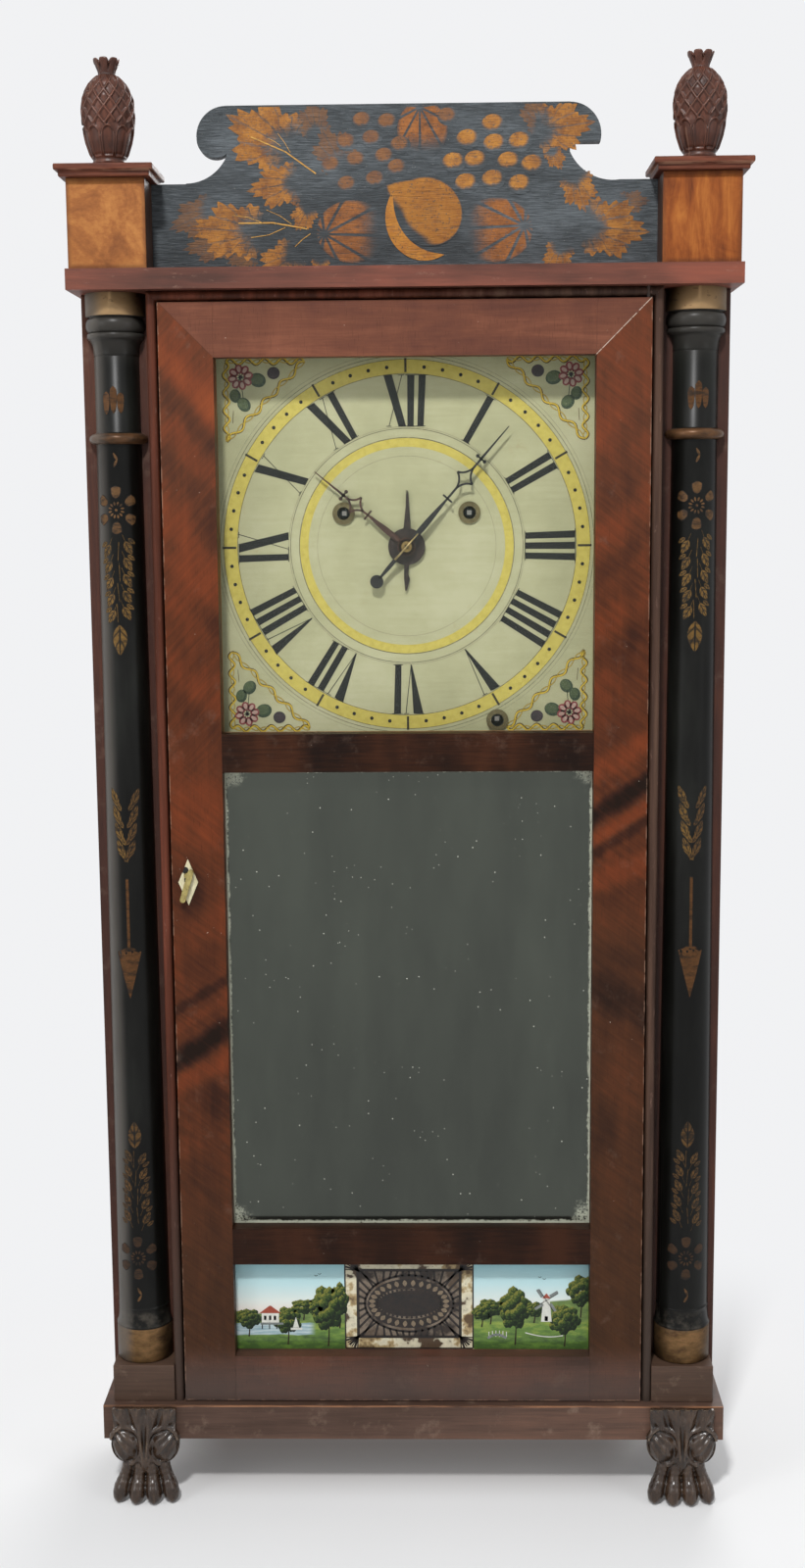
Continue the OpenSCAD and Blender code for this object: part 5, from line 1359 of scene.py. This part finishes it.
def cut_sheet(name, bm, angle, depth, thick, material, body):
    """Turns a flat shape clockwise about the dial's middle and gives it the sheet's thickness."""
    bmesh.ops.rotate(bm, verts=bm.verts, cent=(0, 0, 0),
                     matrix=Matrix.Rotation(-math.radians(angle), 3, "Z"))
    laid(bm, on_face(FACE + depth, 0, DIAL.z))
    back = bmesh.ops.extrude_face_region(bm, geom=bm.faces[:], use_keep_orig=True)["geom"]
    bmesh.ops.translate(bm, verts=[v for v in back if isinstance(v, bmesh.types.BMVert)],
                        vec=(0, thick * MM, 0))
    bmesh.ops.recalc_face_normals(bm, faces=bm.faces)
    return added(name, bm, material, body, False)


minute = hand_shape(102, 41, 50, 66.6, 74.5, 4.6, 1.7)
ribbon(minute, upward(-4.2, -27.2), lambda t: 1.3 + 1.5 * math.sin(math.pi * t), 12)
spot(minute, (0, -30), 4.4, segments=28)
blued = metal("blued_steel", "100f0f", "211f1e", 0.34, 0.25)
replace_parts(cut_sheet("minute_hand_cut", minute, MINUTE_ANGLE, 21.2, 0.8, blued, "minute"),
            "minute_hand")
browned = metal("browned_steel", "2e1d18", "533729", 0.4, 0.35)
hour = hand_shape(77, 32.6, 36.5, 49.5, 53, 6.0, 3.1)
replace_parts(cut_sheet("hour_hand_cut", hour, HOUR_ANGLE, 23.6, 0.8, browned, "hour"),
            "hour_hand")
dark_iron = metal("alarm_disc_iron", "1c1613", "3a2e27", 0.32, 0.4)
paint(dark_iron, "alarm_disc")
pointer = bmesh.new()
ribbon(pointer, upward(9, 36.5), lambda t: 5.2 - 4.7 * t)
ribbon(pointer, upward(-9, -29), lambda t: 2.2 + 1.2 * math.sin(math.pi * t) - 1.4 * t, 10)
cut_sheet("alarm_pointer", pointer, 1.5, 25.5, 1.0, dark_iron, "alarm_disc")

f = Finish("brass_collet", Roughness=0.35)
x, y, z = f.here()
# Painted shade: the square hole in the collet is painted dark.
square = abs(x).most(abs(z - DIAL.z)).rise(1.3, 1.1)
colour = f.ramp(f.noise(0.3, rough=0.7), (0.35, "6d5a34"), (0.65, "a8905a"))
f.feed(f.coats(colour, (x.apart(z - DIAL.z).rise(3.3, 3.6), "2b211b"), (square, "1d1712")),
       Metallic=0.85 - square * 0.6)
paint(f.material, "centre_arbor")
pin = bmesh.new()
made = bmesh.ops.create_cone(pin, cap_ends=True, segments=16, radius1=0.75 * MM, radius2=0.42 * MM,
                             depth=23 * MM)
bmesh.ops.transform(pin, verts=made["verts"], matrix=Matrix.Translation(
    Vector((0, FACE + 19.0, DIAL.z)) * MM) @ Matrix.Rotation(math.radians(MINUTE_ANGLE + 1), 4, "Y"))
added("taper_pin", pin, metal("pin_brass", "8a7548", "c8b684", 0.25, 0.85), "minute")

# Door frame
# Pine stiles and rails veneered in flame mahogany, with mitres at the upper corners. The
# flame crosses the stiles in slanting feathered bands; the rails are plainer and darker.
OPENING = 121.4
DIAL_HEAD = 772.3
DOOR_EDGE = 156.4
DOOR_FOOT = 69.0

# Heights between which one look of the veneer passes into another
FEATHER_TURNS = (470, 540)
# Painted light from above: between these heights the veneer grows brighter and takes a pale painted
# sheen toward the top.
BRIGHTER = (560, 740)
PAINTED_TOP_SHEEN = (580, 740)
STILES_FADE = (330, 110)
RIGHT_STILE_FADES = (450, 380)
STILE_FEET = (112, 88)
DARK_RAIL = (250, 200)
FOOT_RAIL = (125, 85)
# Painted reflection of the pale floor, greying the door toward its foot
PAINTED_FLOOR_REFLECTION = (108, 74)

# Bands of the flame: place across and up, rise to the side, half width, and how much darker
# or brighter it makes the veneer. A rise of None is a cloud.
LEFT_FLAME = (
    (-150, 768, -1.1, 9, 0.40), (-130, 728, -1.1, 9, -0.45), (-122, 742, None, 13, 0.55),
    (-142, 698, -0.9, 8, -0.30), (-146, 664, -1.0, 10, 0.28), (-126, 660, None, 14, -0.40),
    (-144, 627, None, 15, 0.50), (-126, 605, -1.0, 8, -0.30), (-123, 622, None, 9, 0.35),
    (-147, 570, -0.9, 10, 0.20), (-132, 540, -0.9, 9, -0.18), (-138, 478, None, 22, 0.50),
    (-146, 428, None, 12, -0.35), (-138, 400, 0.7, 12, 0.28), (-136, 358, 0.62, 4, -0.55),
    (-136, 345, 0.62, 4, 0.25), (-139, 322, 0.66, 8.0, -1.2), (-151, 297, 0.5, 8, 0.45),
    (-126, 282, None, 13, -0.50), (-140, 255, 0.5, 9, 0.15), (-148, 232, None, 12, -0.15))
RIGHT_FLAME = (
    (124, 720, None, 16, 0.20), (140, 722, 0.9, 9, -0.25), (136, 690, None, 17, -0.40),
    (132, 664, 0.9, 8, 0.30), (130, 638, 0.8, 7, -0.30), (142, 612, 0.8, 9, 0.20),
    (134, 585, 0.8, 7, -0.18), (128, 560, None, 13, 0.25), (140, 530, 0.7, 10, -0.12),
    (130, 510, 0.6, 9, 0.50), (141, 488.5, 0.63, 7.0, -1.15), (142, 473, 0.63, 5, 0.50),
    (138, 461, 0.65, 4.5, -0.55), (145, 441, 0.4, 9, 0.45), (133, 356, -0.5, 15, -0.75),
    (150, 378, -0.3, 9, -0.20), (144, 405, 0.3, 14, 0.15), (146, 296, None, 17, 0.22),
    (127, 268, None, 13, -0.30), (143, 225, None, 18, 0.08))


def flame(x, z, bands, wobble):
    """The sum of all bands of one stile."""
    total = wobble * 0.9
    for at, height, rise, half, amount in bands:
        across = x - at
        climb = z - height
        if rise is None:
            off = (across * across + climb * climb * 0.45) ** 0.5
        else:
            off = abs(climb - across * rise) * (1 / math.hypot(1, rise))
        total = total + (off + wobble * half * 0.9).rise(half * 1.35, half * 0.2) * amount
    return total


f = Finish("flame_mahogany", specular=0.1)
x, y, z = f.here()
side = abs(x)
over = (z - DIAL_HEAD) - (side - OPENING)
top_rail = over.rise(-0.15, 0.15)
rails = side.rise(OPENING + 0.15, OPENING - 0.15) * (1 - top_rail)
wobble = f.noise(0.045, (1, 1, 0.5), warp=0.6) - 0.5
down, up = (f.noise(0.30, (0.09, 1, 1), rough=0.65, warp=0.3, turn=turn) for turn in (48, -38))
right_side = x.rise(-1, 1)
falling = (1 - right_side) * z.rise(*FEATHER_TURNS)
feather = up + (down - up) * falling
long = f.noise(0.09, (1, 1, 0.05), warp=0.5)
left = flame(x, z, LEFT_FLAME, wobble)
figure = left + (flame(x, z, RIGHT_FLAME, wobble) - left) * right_side
# The tone is painted brighter toward the top, as painted light from above.
tone = (0.5 + figure * 0.33 + (feather - 0.5) * 0.42 + (long - 0.5) * 0.25
        + z.rise(*BRIGHTER) * 0.10)
across = f.noise(0.07, (0.12, 1, 0.9), warp=0.8)
thin = f.noise(0.9, (0.05, 1, 1), rough=0.65)
blotch = f.noise(0.03, (0.6, 1, 0.25), 3.0)
head = f.ramp(across * 0.6 + thin * 0.2 + wobble * 0.3 + 0.1, (0.36, "533027"), (0.5, "643b2c"),
              (0.64, "774836"))
crotch = f.ramp(blotch * 0.7 + thin * 0.3, (0.38, "190e09"), (0.5, "2c180e"), (0.62, "412415"))
foot = f.ramp(blotch * 0.5 + thin * 0.2 + across * 0.3, (0.38, "44322a"), (0.5, "543b31"),
              (0.62, "674233"))
rail = f.coats(crotch, (z.rise(*DARK_RAIL) * 0.3, "1b110d"), (z.rise(*FOOT_RAIL), foot))
dull = f.ramp(tone, (0.10, "201410"), (0.42, "362418"), (0.70, "492f1d"), (0.9, "5c3c26"))
veneer = f.ramp(tone, (0.10, "1b100a"), (0.34, "361d13"), (0.52, "502a18"), (0.68, "67321b"),
                (0.90, "7d3d1f"))
veneer = f.coats(veneer, (z.rise(*STILES_FADE) * 0.85, dull),
                 (right_side * z.rise(*RIGHT_STILE_FADES) * 0.55, dull),
                 (z.rise(*STILE_FEET) * 0.75, foot), (rails, rail), (top_rail, head))
pores = f.noise(1.6, (1, 1, 0.08), 2.0, 0.5).rise(0.40, 0.30)
mitre = abs(over).rise(0.30, 0.1) * side.rise(OPENING - 1, OPENING + 1)
scratch = (abs(over + wobble * 0.5).rise(0.50, 0.22) * x.rise(OPENING - 2, OPENING)
           * f.noise(0.5, EVEN, 3.0).rise(0.34, 0.44))
dust = f.noise(0.05, EVEN, 5.0, 0.7).rise(0.56, 0.78)
behind = y - FACE
# Painted shade: the door's side, in the gap by the bead, is painted dark.
painted_shade_on_door_side = (side - (DOOR_EDGE - 0.4)).rise(0.05, 0.3) * behind.rise(0.8, 2.0)
chip = f.noise(0.42, EVEN, 3.0).rise(0.75, 0.78)
edge_wear = (DOOR_EDGE - side).rise(0.9, 0.3).most((z - DOOR_FOOT).rise(1.2, 0.4)) * f.noise(
    0.12, rough=0.7).rise(0.45, 0.6) * behind.rise(2.0, 0.8)
veneer = f.coats(veneer, (pores * 0.25, "20110c"), (mitre * 0.5, "24120c"),
                 (scratch * 0.75, "c9b8a8"),
                 # Real dust, and a pale painted sheen toward the top.
                 ((dust * 0.15).most(z.rise(*PAINTED_TOP_SHEEN) * 0.04), "967c6c"),
                 # A painted reflection of the floor greys the door's foot, and painted shade darkens
                 # the door's side by the bead.
                 (z.rise(*PAINTED_FLOOR_REFLECTION) * 0.55, "4b4441"), (painted_shade_on_door_side * 0.8, "24150e"),
                 (chip * 0.7, "c9c0b2"), (edge_wear * 0.5, "9b7a66"))
f.feed(veneer, 0.38 + dust * 0.2 + feather * 0.12, Normal=f.bump(feather - pores * 0.5, 0.2))
eased("door_frame", f.material, "door", 0.5)

# Door glasses
# Clear old glass over the dial. The looking glass has lost its silver along the edges and
# in specks. Both lie in a rebate and are held from behind.
MIRROR_LOW, MIRROR_HIGH = 193.2, 506.1
SPECKS = ((0.055, 0.028, 0.46, 0.60), (0.11, 0.040, 0.58, 0.67))
f = Finish("old_glass", 0.1, Roughness=0.05, Alpha=0.03)
f.feed(f.ramp(f.noise(0.01, EVEN, 2.0, 0.5), (0.3, "7d8a80"), (0.7, "8d978c")))
paint(f.material, "door_glass")

f = Finish("worn_silvering", Coat_Roughness=0.02)
x, y, z = f.here()
edge_x = OPENING - abs(x)
edge_z = (z - MIRROR_LOW).least(MIRROR_HIGH - z)
near_edge = edge_x.least(edge_z)
ragged = f.noise(0.13, EVEN, 5.0, 0.75)
crumbs = f.noise(0.7, rough=0.7)
lost = (near_edge - ragged * 4.4 + 1.1).rise(0.9, -0.3) * crumbs.rise(0.36, 0.50)
line_wear = near_edge.rise(1.1, 0.4) * f.noise(0.25, rough=0.7).rise(0.32, 0.44)
corner = (edge_x.apart(edge_z) - ragged * 26 + 2).rise(4.0, -4.0)
lost = lost.most(corner * crumbs.rise(0.38, 0.52)).most(line_wear)
flat = f.add("CombineXYZ", inputs={"X": x, "Y": z})
tiny = (crumbs - 0.73).rise(0.0, 0.02) * z.rise(330, 200)
for spacing, size, low, high in SPECKS:
    cells = f.add("TexVoronoi", {"feature": "F1", "voronoi_dimensions": "2D"},
                  {"Vector": flat, "Scale": spacing})
    here = f.noise(0.02 + spacing * 0.1, flat, 2.0, 0.5).rise(low, high)
    tiny = (cells.rise(size, size * 0.4) * here).most(tiny)
haze = f.noise(0.02, (1, 1, 0.25), rough=0.65)
film = f.ramp(haze + (z - 350) * 0.0008, (0.30, "444741"), (0.70, "50544c"))
bare = lost.most(tiny)
f.feed(f.coats(film, (lost * 0.9, "b9bca8"), (tiny * 0.9, "d2d2c4")),
       0.10 + haze * 0.06 + bare * 0.4, Metallic=0.92 - bare * 0.8, Coat_Weight=0.2 - bare * 0.1)
paint(f.material, "mirror_glass")

# Painted tablet
# Three fields painted on the back of one glass: a lake with a boathouse and trees, a dark
# lattice with fans and an oval over a worn ground, and a windmill on a hill by a bridge.
TABLET_FACE = FACE + 12
LOW, HIGH = 101.0, 167.3
SPLIT = (-46.5, 42.5)
LEAF_DABS = 18
MILL = Vector((92.5, 136.5))
SAILS = 4
HOUSE_WINDOWS = (-101.6, -98.2, -94.8)
HOUSE_POSTS = (-104, -99, -94)
BRIDGE_POSTS = 6
BIRDS = ((-66, 154), (-63.5, 155.2), (88, 153), (91, 151.6))
POND_HEIGHT = 117
POND_END = (-72, -66)
FOREGROUND = 0.24

f = Finish("painted_tablet", Coat_Weight=0.35, Coat_Roughness=0.03)
x, y, z = f.here()
up_by = (z - LOW) * (1 / (HIGH - LOW))
roll = f.noise(0.03, (1, 0, 0), 2.0, 0.5)
brush = f.noise(0.35, (0.35, 1, 1), rough=0.7)
sky_colour = f.ramp(up_by + f.noise(0.04, (0.5, 1, 1), 3.0, 0.5) * 0.08, (0.36, "dfc9bc"),
                    (0.56, "d3dad4"), (0.74, "b4d2d4"), (1.0, "8cc2cb"))
far_top = 0.30 + roll * 0.20 + x.rise(-1, 1) * x.rise(60, 115) * 0.16
woods = f.ramp(brush, (0.35, "445c28"), (0.65, "6e863a"))
meadow = f.ramp(brush * 0.6 + up_by * 0.8, (0.30, "34501b"), (0.45, "577829"), (0.62, "8a9a3c"))
shore = f.noise(0.06, (1, 0, 0), 2.0, 0.5) * 3
pond = (abs(z - POND_HEIGHT + shore) - 4.2).rise(0.5, -0.3) * (1 - x.rise(*POND_END))
water = f.ramp(f.noise(0.8, (0.1, 1, 1), 3.0), (0.35, "7f9ba3"), (0.65, "b4c4c6"))
f.feed(f.coats(sky_colour, ((up_by - far_top).rise(0.012, -0.012), woods),
               ((up_by - FOREGROUND - roll * 0.10).rise(0.012, -0.012), meadow), (pond, water),
               (y.rise(TABLET_FACE + 1.2, TABLET_FACE + 1.7), "41382e")), 0.5 + brush * 0.05)
paint(f.material, "tablet_glass")


def tablet_piece(name, bm, material, lift=None):
    """Adds a part of the painting, laid a little proud of the glass where it is still flat."""
    if lift:
        laid(bm, on_face(TABLET_FACE - lift))
    added("tablet_" + name, bm, material, "door", False)


f = Finish("tablet_foliage", specular=0.3)
along, across = f.disc()
dabs = f.noise(0.9, rough=0.75)
lit = along * -0.26 + across * 0.36 + (dabs - 0.5) * 1.5 + 0.50
f.feed(f.ramp(lit, (0.20, "0c170a"), (0.44, "1b2f12"), (0.66, "3b4f1e"), (0.9, "7a7832")),
       0.4 + dabs * 0.1)


def ragged_round(angle):
    """The rim of one dab of foliage."""
    return 1.0 + 0.07 * math.sin(math.radians(angle * 5)) + 0.06 * math.sin(math.radians(angle * 9))


# Trees: place across, foot, height, width of the crown
TREES = ((-113, 110, 20, 17), (-86, 104, 27, 19), (-58, 103, 42, 25), (-50, 116, 32, 13),
         (-75, 122, 15, 17), (-66, 120, 17, 15), (54, 119, 18, 19), (48, 117, 16, 13),
         (71, 104, 40, 22), (84, 120, 15, 14), (105, 103, 30, 21), (116, 124, 30, 19))
crowns = bmesh.new()
trunks = bmesh.new()
for k, (x0, foot_z, tall, wide) in enumerate(TREES):
    ribbon(trunks, lambda t: Vector((x0 + 0.6 * math.sin(t * 3), foot_z + tall * 0.6 * t)),
           lambda t: 1.1 - 0.6 * t, 4)
    heart = Vector((x0, foot_z + tall * 0.66))
    for i in range(LEAF_DABS):
        reach = 0.40 * (1 - i / (LEAF_DABS + 1)) ** 0.5
        at = heart + polar(math.degrees(2.4 * i + k), wide * reach, tall * 0.75 * reach)
        cut_round(crowns, ragged_round, on_face(TABLET_FACE - 0.14 - 0.0015 * i), at,
                  (wide * 0.34, tall * 0.22), 0, 16)
tablet_piece("trunks", trunks, old_paint("tablet_bark", "1f1a10", "382a18", 0.4, 0.7), 0.12)
tablet_piece("trees", crowns, f.material)

PAINTS = {"white": ("cfcfc6", "b3b5ac"), "red": ("8f3f2c", "a8584a"), "grey": ("6c7270", "8d918c"),
          "dark": ("151310", "2b2721")}
white, red, grey, dark = fields = [bmesh.new() for _ in PAINTS]


def block(bm, x0, z0, x1, z1):
    """An upright rectangle between two corners."""
    line(bm, (x0, (z0 + z1) / 2), (x1, (z0 + z1) / 2), z1 - z0)


def tower(bm, middle, z0, z1, wide, top):
    """A shape with level ends that narrows from wide to top."""
    ribbon(bm, lambda t: Vector((middle, z0 + (z1 - z0) * t)),
           lambda t: wide + (top - wide) * t, 1, Vector((1, 0)))


block(white, -104, 120, -92, 127)
tower(red, -98, 127, 132.5, 15, 0.9)
for at in HOUSE_WINDOWS:
    block(dark, at - 0.8, 122, at + 0.8, 125.2)
block(grey, -105, 118.6, -89, 120.2)
for at in HOUSE_POSTS:
    block(dark, at, 115.5, at + 0.7, 118.8)
line(white, (-84, 115.6), (-76, 115.6), 1.6)
tower(white, -80.3, 116.6, 124, 4.2, 0.252)
tower(white, MILL.x, 121, 138, 7.4, 4.4)
tower(red, MILL.x, 138, 141.5, 5.8, 0.348)
for k in range(SAILS):
    angle = 32 + 360 / SAILS * k
    line(dark, MILL, MILL + polar(angle, 9.5), 0.5)
    sail = MILL + polar(angle + math.degrees(1.2), 1.3)
    line(grey, sail + polar(angle, 3), sail + polar(angle, 9.5), 1.9)
block(dark, 91.4, 121.5, 93.6, 125)
ribbon(grey, lambda t: Vector((52 + 13 * t, 109 + 2.6 * math.sin(math.pi * t))), 1.7, 12)
for k in range(BRIDGE_POSTS):
    at = 53 + 2.4 * k
    top = 113.4 + 1.2 * math.sin(math.pi * (k + 0.4) / BRIDGE_POSTS)
    line(white, (at, 110), (at, top), 0.5)
ribbon(white, lambda t: Vector((78 + 26 * t, 113 - 3 * math.sin(2.4 * t))), 0.7, 10)
for x0, z0 in BIRDS:
    line(dark, (x0 - 1.1, z0 + 0.7), (x0, z0), 0.35)
    line(dark, (x0, z0), (x0 + 1.1, z0 + 0.8), 0.35)
for bm, (key, (code, worn)) in zip(fields, PAINTS.items()):
    tablet_piece("houses_" + key, bm, old_paint("tablet_" + key, code, worn, 0.4, 0.75), 0.17)

# Middle field of the tablet
# Cream and gold leaf behind a stencilled black lattice, flaked away in patches. The lattice
# has two frames, a ring of wedges around a dark oval, rays, and a fan in each corner.
MIDDLE = Vector((sum(SPLIT) / 2, (LOW + HIGH) / 2))
OUTER_FRAME, INNER_FRAME = Vector((44.0, 32.6)), Vector((35.2, 24.2))
OVALS = ((30.4, 20.4, 1.6), (25.2, 14.6, 6.4))
RAYS = 40
RAY_ENDS = (34.6, 23.6)
FAN_RIBS = 7
WEDGES = 28
f = Finish("worn_leaf", specular=0.4)
x, y, z = f.here()
patch = f.noise(0.045, shift=(11, 0, 4))
grime = f.noise(0.4, rough=0.7)
frame_part = (abs(x - MIDDLE.x) * 0.9).most(abs(z - MIDDLE.y) * 1.32).rise(30.5, 31.5)
cream = f.ramp(patch, (0.40, "57442c"), (0.46, "a8936a"), (0.50, "d2cbb0"), (0.57, "bfb89f"),
               (0.60, "4a3a2b"))
brown = f.ramp(patch, (0.40, "4a3c2f"), (0.5, "75685a"), (0.60, "2e251f"))
f.feed(f.coats(brown, (frame_part, cream), (grime.rise(0.58, 0.7) * 0.6, "201a14")),
       0.4 + grime * 0.1)
field = bmesh.new()
line(field, (SPLIT[0], MIDDLE.y), (SPLIT[1], MIDDLE.y), HIGH - LOW)
tablet_piece("leaf", field, f.material, 0.10)
lattice = bmesh.new()
for half, wide in ((OUTER_FRAME, 1.0), (INNER_FRAME, 2.0)):
    for sign, _ in SIDES:
        level, upright = Vector((half.x, sign * half.y)), Vector((sign * half.x, half.y))
        line(lattice, MIDDLE + level * Vector((-1, 1)), MIDDLE + level, wide)
        line(lattice, MIDDLE + upright * Vector((1, -1)), MIDDLE + upright, wide)
for rx, rz, wide in OVALS:
    ribbon(lattice, lambda t: MIDDLE + polar(360 * t, rx, rz), wide, 64)
for k in range(RAYS):
    angle = 360 * k / RAYS
    ray = polar(angle, 1)
    edge = min(end / max(abs(part), 0.01) for end, part in zip(RAY_ENDS, ray))
    line(lattice, MIDDLE + polar(angle, 30, 20), MIDDLE + ray * edge, 1.5)
    spot(lattice, MIDDLE + polar(angle + math.degrees(0.08), 21.6, 10.2), 0.9, segments=8)
for sx, sz in ((-1, -1), (-1, 1), (1, -1), (1, 1)):
    mirrored = Vector((sx, sz))
    inner = MIDDLE + mirrored * INNER_FRAME
    for k in range(FAN_RIBS):
        line(lattice, inner, inner + mirrored * polar(4 + 13.6 * k, 8.8, 8.4), 1.5 if k % 2 else 0.8)
    line(lattice, inner, MIDDLE + mirrored * Vector((22, 13)), 1.4)
spot(lattice, MIDDLE, 21, 0.45, 0, 40)
tablet_piece("lattice", lattice, metal("lattice_black", "0f0c0a", "231a14", 0.35, 0.1, 0.3), 0.14)
marks = bmesh.new()
for k in range(WEDGES):
    angle = 360 * (k + 0.5) / WEDGES
    ribbon(marks, lambda t: MIDDLE + polar(angle, 23.4 + 4.4 * t, 12.6 + 4.4 * t),
           lambda t: 0.5 + 2.6 * math.sin(math.pi * t), 6)
tablet_piece("ring_marks", marks, old_paint("tan_marks", "6d5f4f", "85755f", 0.4, 0.6), 0.17)

# Back of the door
# A thin pine board protects the silvering from behind, and nailed strips hold the two clear
# glasses. They stay as plain solids with a finish.
paint(pine, "door_backing")

# Keyhole plate, lock and key
# A bone diamond let into the stile, an iron box lock behind it, and a small key whose worn
# bow has the colour of old brass.
KEYHOLE = (-147.4, 441.4)
KEY_SLOT = (-146.9, 437.5)
f = Finish("old_bone", specular=0.4)
x, y, z = f.here()
stain = f.noise(0.3, (1, 1, 0.3), rough=0.7)
# Painted shade: the keyhole and the key's slot are painted black.
hole = (x - KEYHOLE[0]).apart(z - KEYHOLE[1]).rise(2.5, 2.1)
slot = abs(x - KEY_SLOT[0]).rise(1.3, 0.9) * abs(z - KEY_SLOT[1]).rise(4.2, 3.8)
colour = f.ramp(stain, (0.35, "b5ab86"), (0.55, "d3cba9"), (0.75, "e0dabc"))
f.feed(f.mix(hole.most(slot), colour, "0e0b08"), 0.38 + stain * 0.1)
eased("keyhole_plate", f.material, "door", 0.15)
paint(metal("key_brass", "6f6136", "a99a5c", 0.35, 0.2, 0.3), "door_key")
old_iron = metal("old_iron", "25262a", "4a3b32", 0.45, 0.6, 0.1)
dull_steel = metal("dull_steel", "4c4a47", "7d7a75", 0.3, 0.85)
paint(old_iron, "door_lock", "hinge_pins")
paint(dull_steel, "lock_bolt")

# Wooden movement
# Oak plates with cherry wheels on laurel arbors, oiled and brown with age. The winding
# arbors have square steel ends that reach through the plate to the dial.
WINDING_SQUARE = (41.2, 673.6)
ALARM_SQUARE = (59.4, 536.8)
paint(wood("movement_oak", UPRIGHT, "9c7448", "7c5833", "5c3f24", 0.6, 0.15), "front_plate",
      "back_plate", "alarm_frame")
paint(wood("wheel_cherry", UPRIGHT, "a8703f", "8a5730", "663d20", 0.55, 0.12), "hour_wheel",
      "minute_wheel", "time_great_wheel", "time_second_wheel", "time_third_wheel",
      "strike_great_wheel", "strike_second_wheel", "fly", "time_pulley", "strike_pulley")
f = Finish("drum_with_steel_end", specular=0.4)
x, y, z = f.here()
grain = f.noise(0.5, (1, 0.06, 1))
scrape = f.noise(0.6, rough=0.7)
steel_end = y.rise(FACE + 49.5, FACE + 49)
upper = abs(abs(x) - WINDING_SQUARE[0]).most(abs(z - WINDING_SQUARE[1]))
lower = abs(x - ALARM_SQUARE[0]).most(abs(z - ALARM_SQUARE[1]))
square = upper.least(lower).rise(1.6, 1.4) * steel_end
# Painted shade: the round steel end, seen in the winding hole, is painted near-black around its
# bright square.
steel = f.mix(square, f.ramp(scrape, (0.35, "0c0b0a"), (0.65, "1d1b19")), "b5b2a9")
colour = f.mix(steel_end, f.ramp(grain, (0.35, "663d20"), (0.65, "a8703f")), steel)
f.feed(colour, 0.55 - steel_end * 0.2, Metallic=square * 0.8)
paint(f.material, "time_drum", "strike_drum", "alarm_drum")
paint(metal("wheel_brass", "7d6334", "b8954f", 0.25, 0.95, 0.1), "escape_wheel", "pendulum",
      "bell")
paint(dull_steel, "verge")
paint(old_iron, "hammer", "alarm_hammer")

# Weights and cords
# Cast iron weights on hemp cord that runs over wooden pulleys in the top board.
TRAVEL = {"time": 0.5, "strike": 0.5, "alarm": 0.3}
f = Finish("hemp_cord", specular=0.2, Roughness=0.85)
x, y, z = f.here()
lay = (z * 0.55 + x * 0.9 + f.noise(0.2, EVEN, 3.0, 0.5) * 0.6).math("FRACT")
f.feed(f.ramp(abs(lay - 0.5), (0.0, "8f7d5c"), (0.5, "c9bc99")), Normal=f.bump(lay, 0.5))
paint(f.material, "cord_runs")
for train, travel in TRAVEL.items():
    name = train + "_cord"
    paint(old_iron, train + "_weight")
    low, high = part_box(name)
    stretch = added(name + "_stretch", merged(name), f.material, "case")
    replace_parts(stretch, name)
    tuple(high)
    1 - travel / (high[2] - low[2])
    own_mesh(stretch)

low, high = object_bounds()
{"cad": [list(cad_low), list(cad_high)], "visual": [list(low), list(high)]}
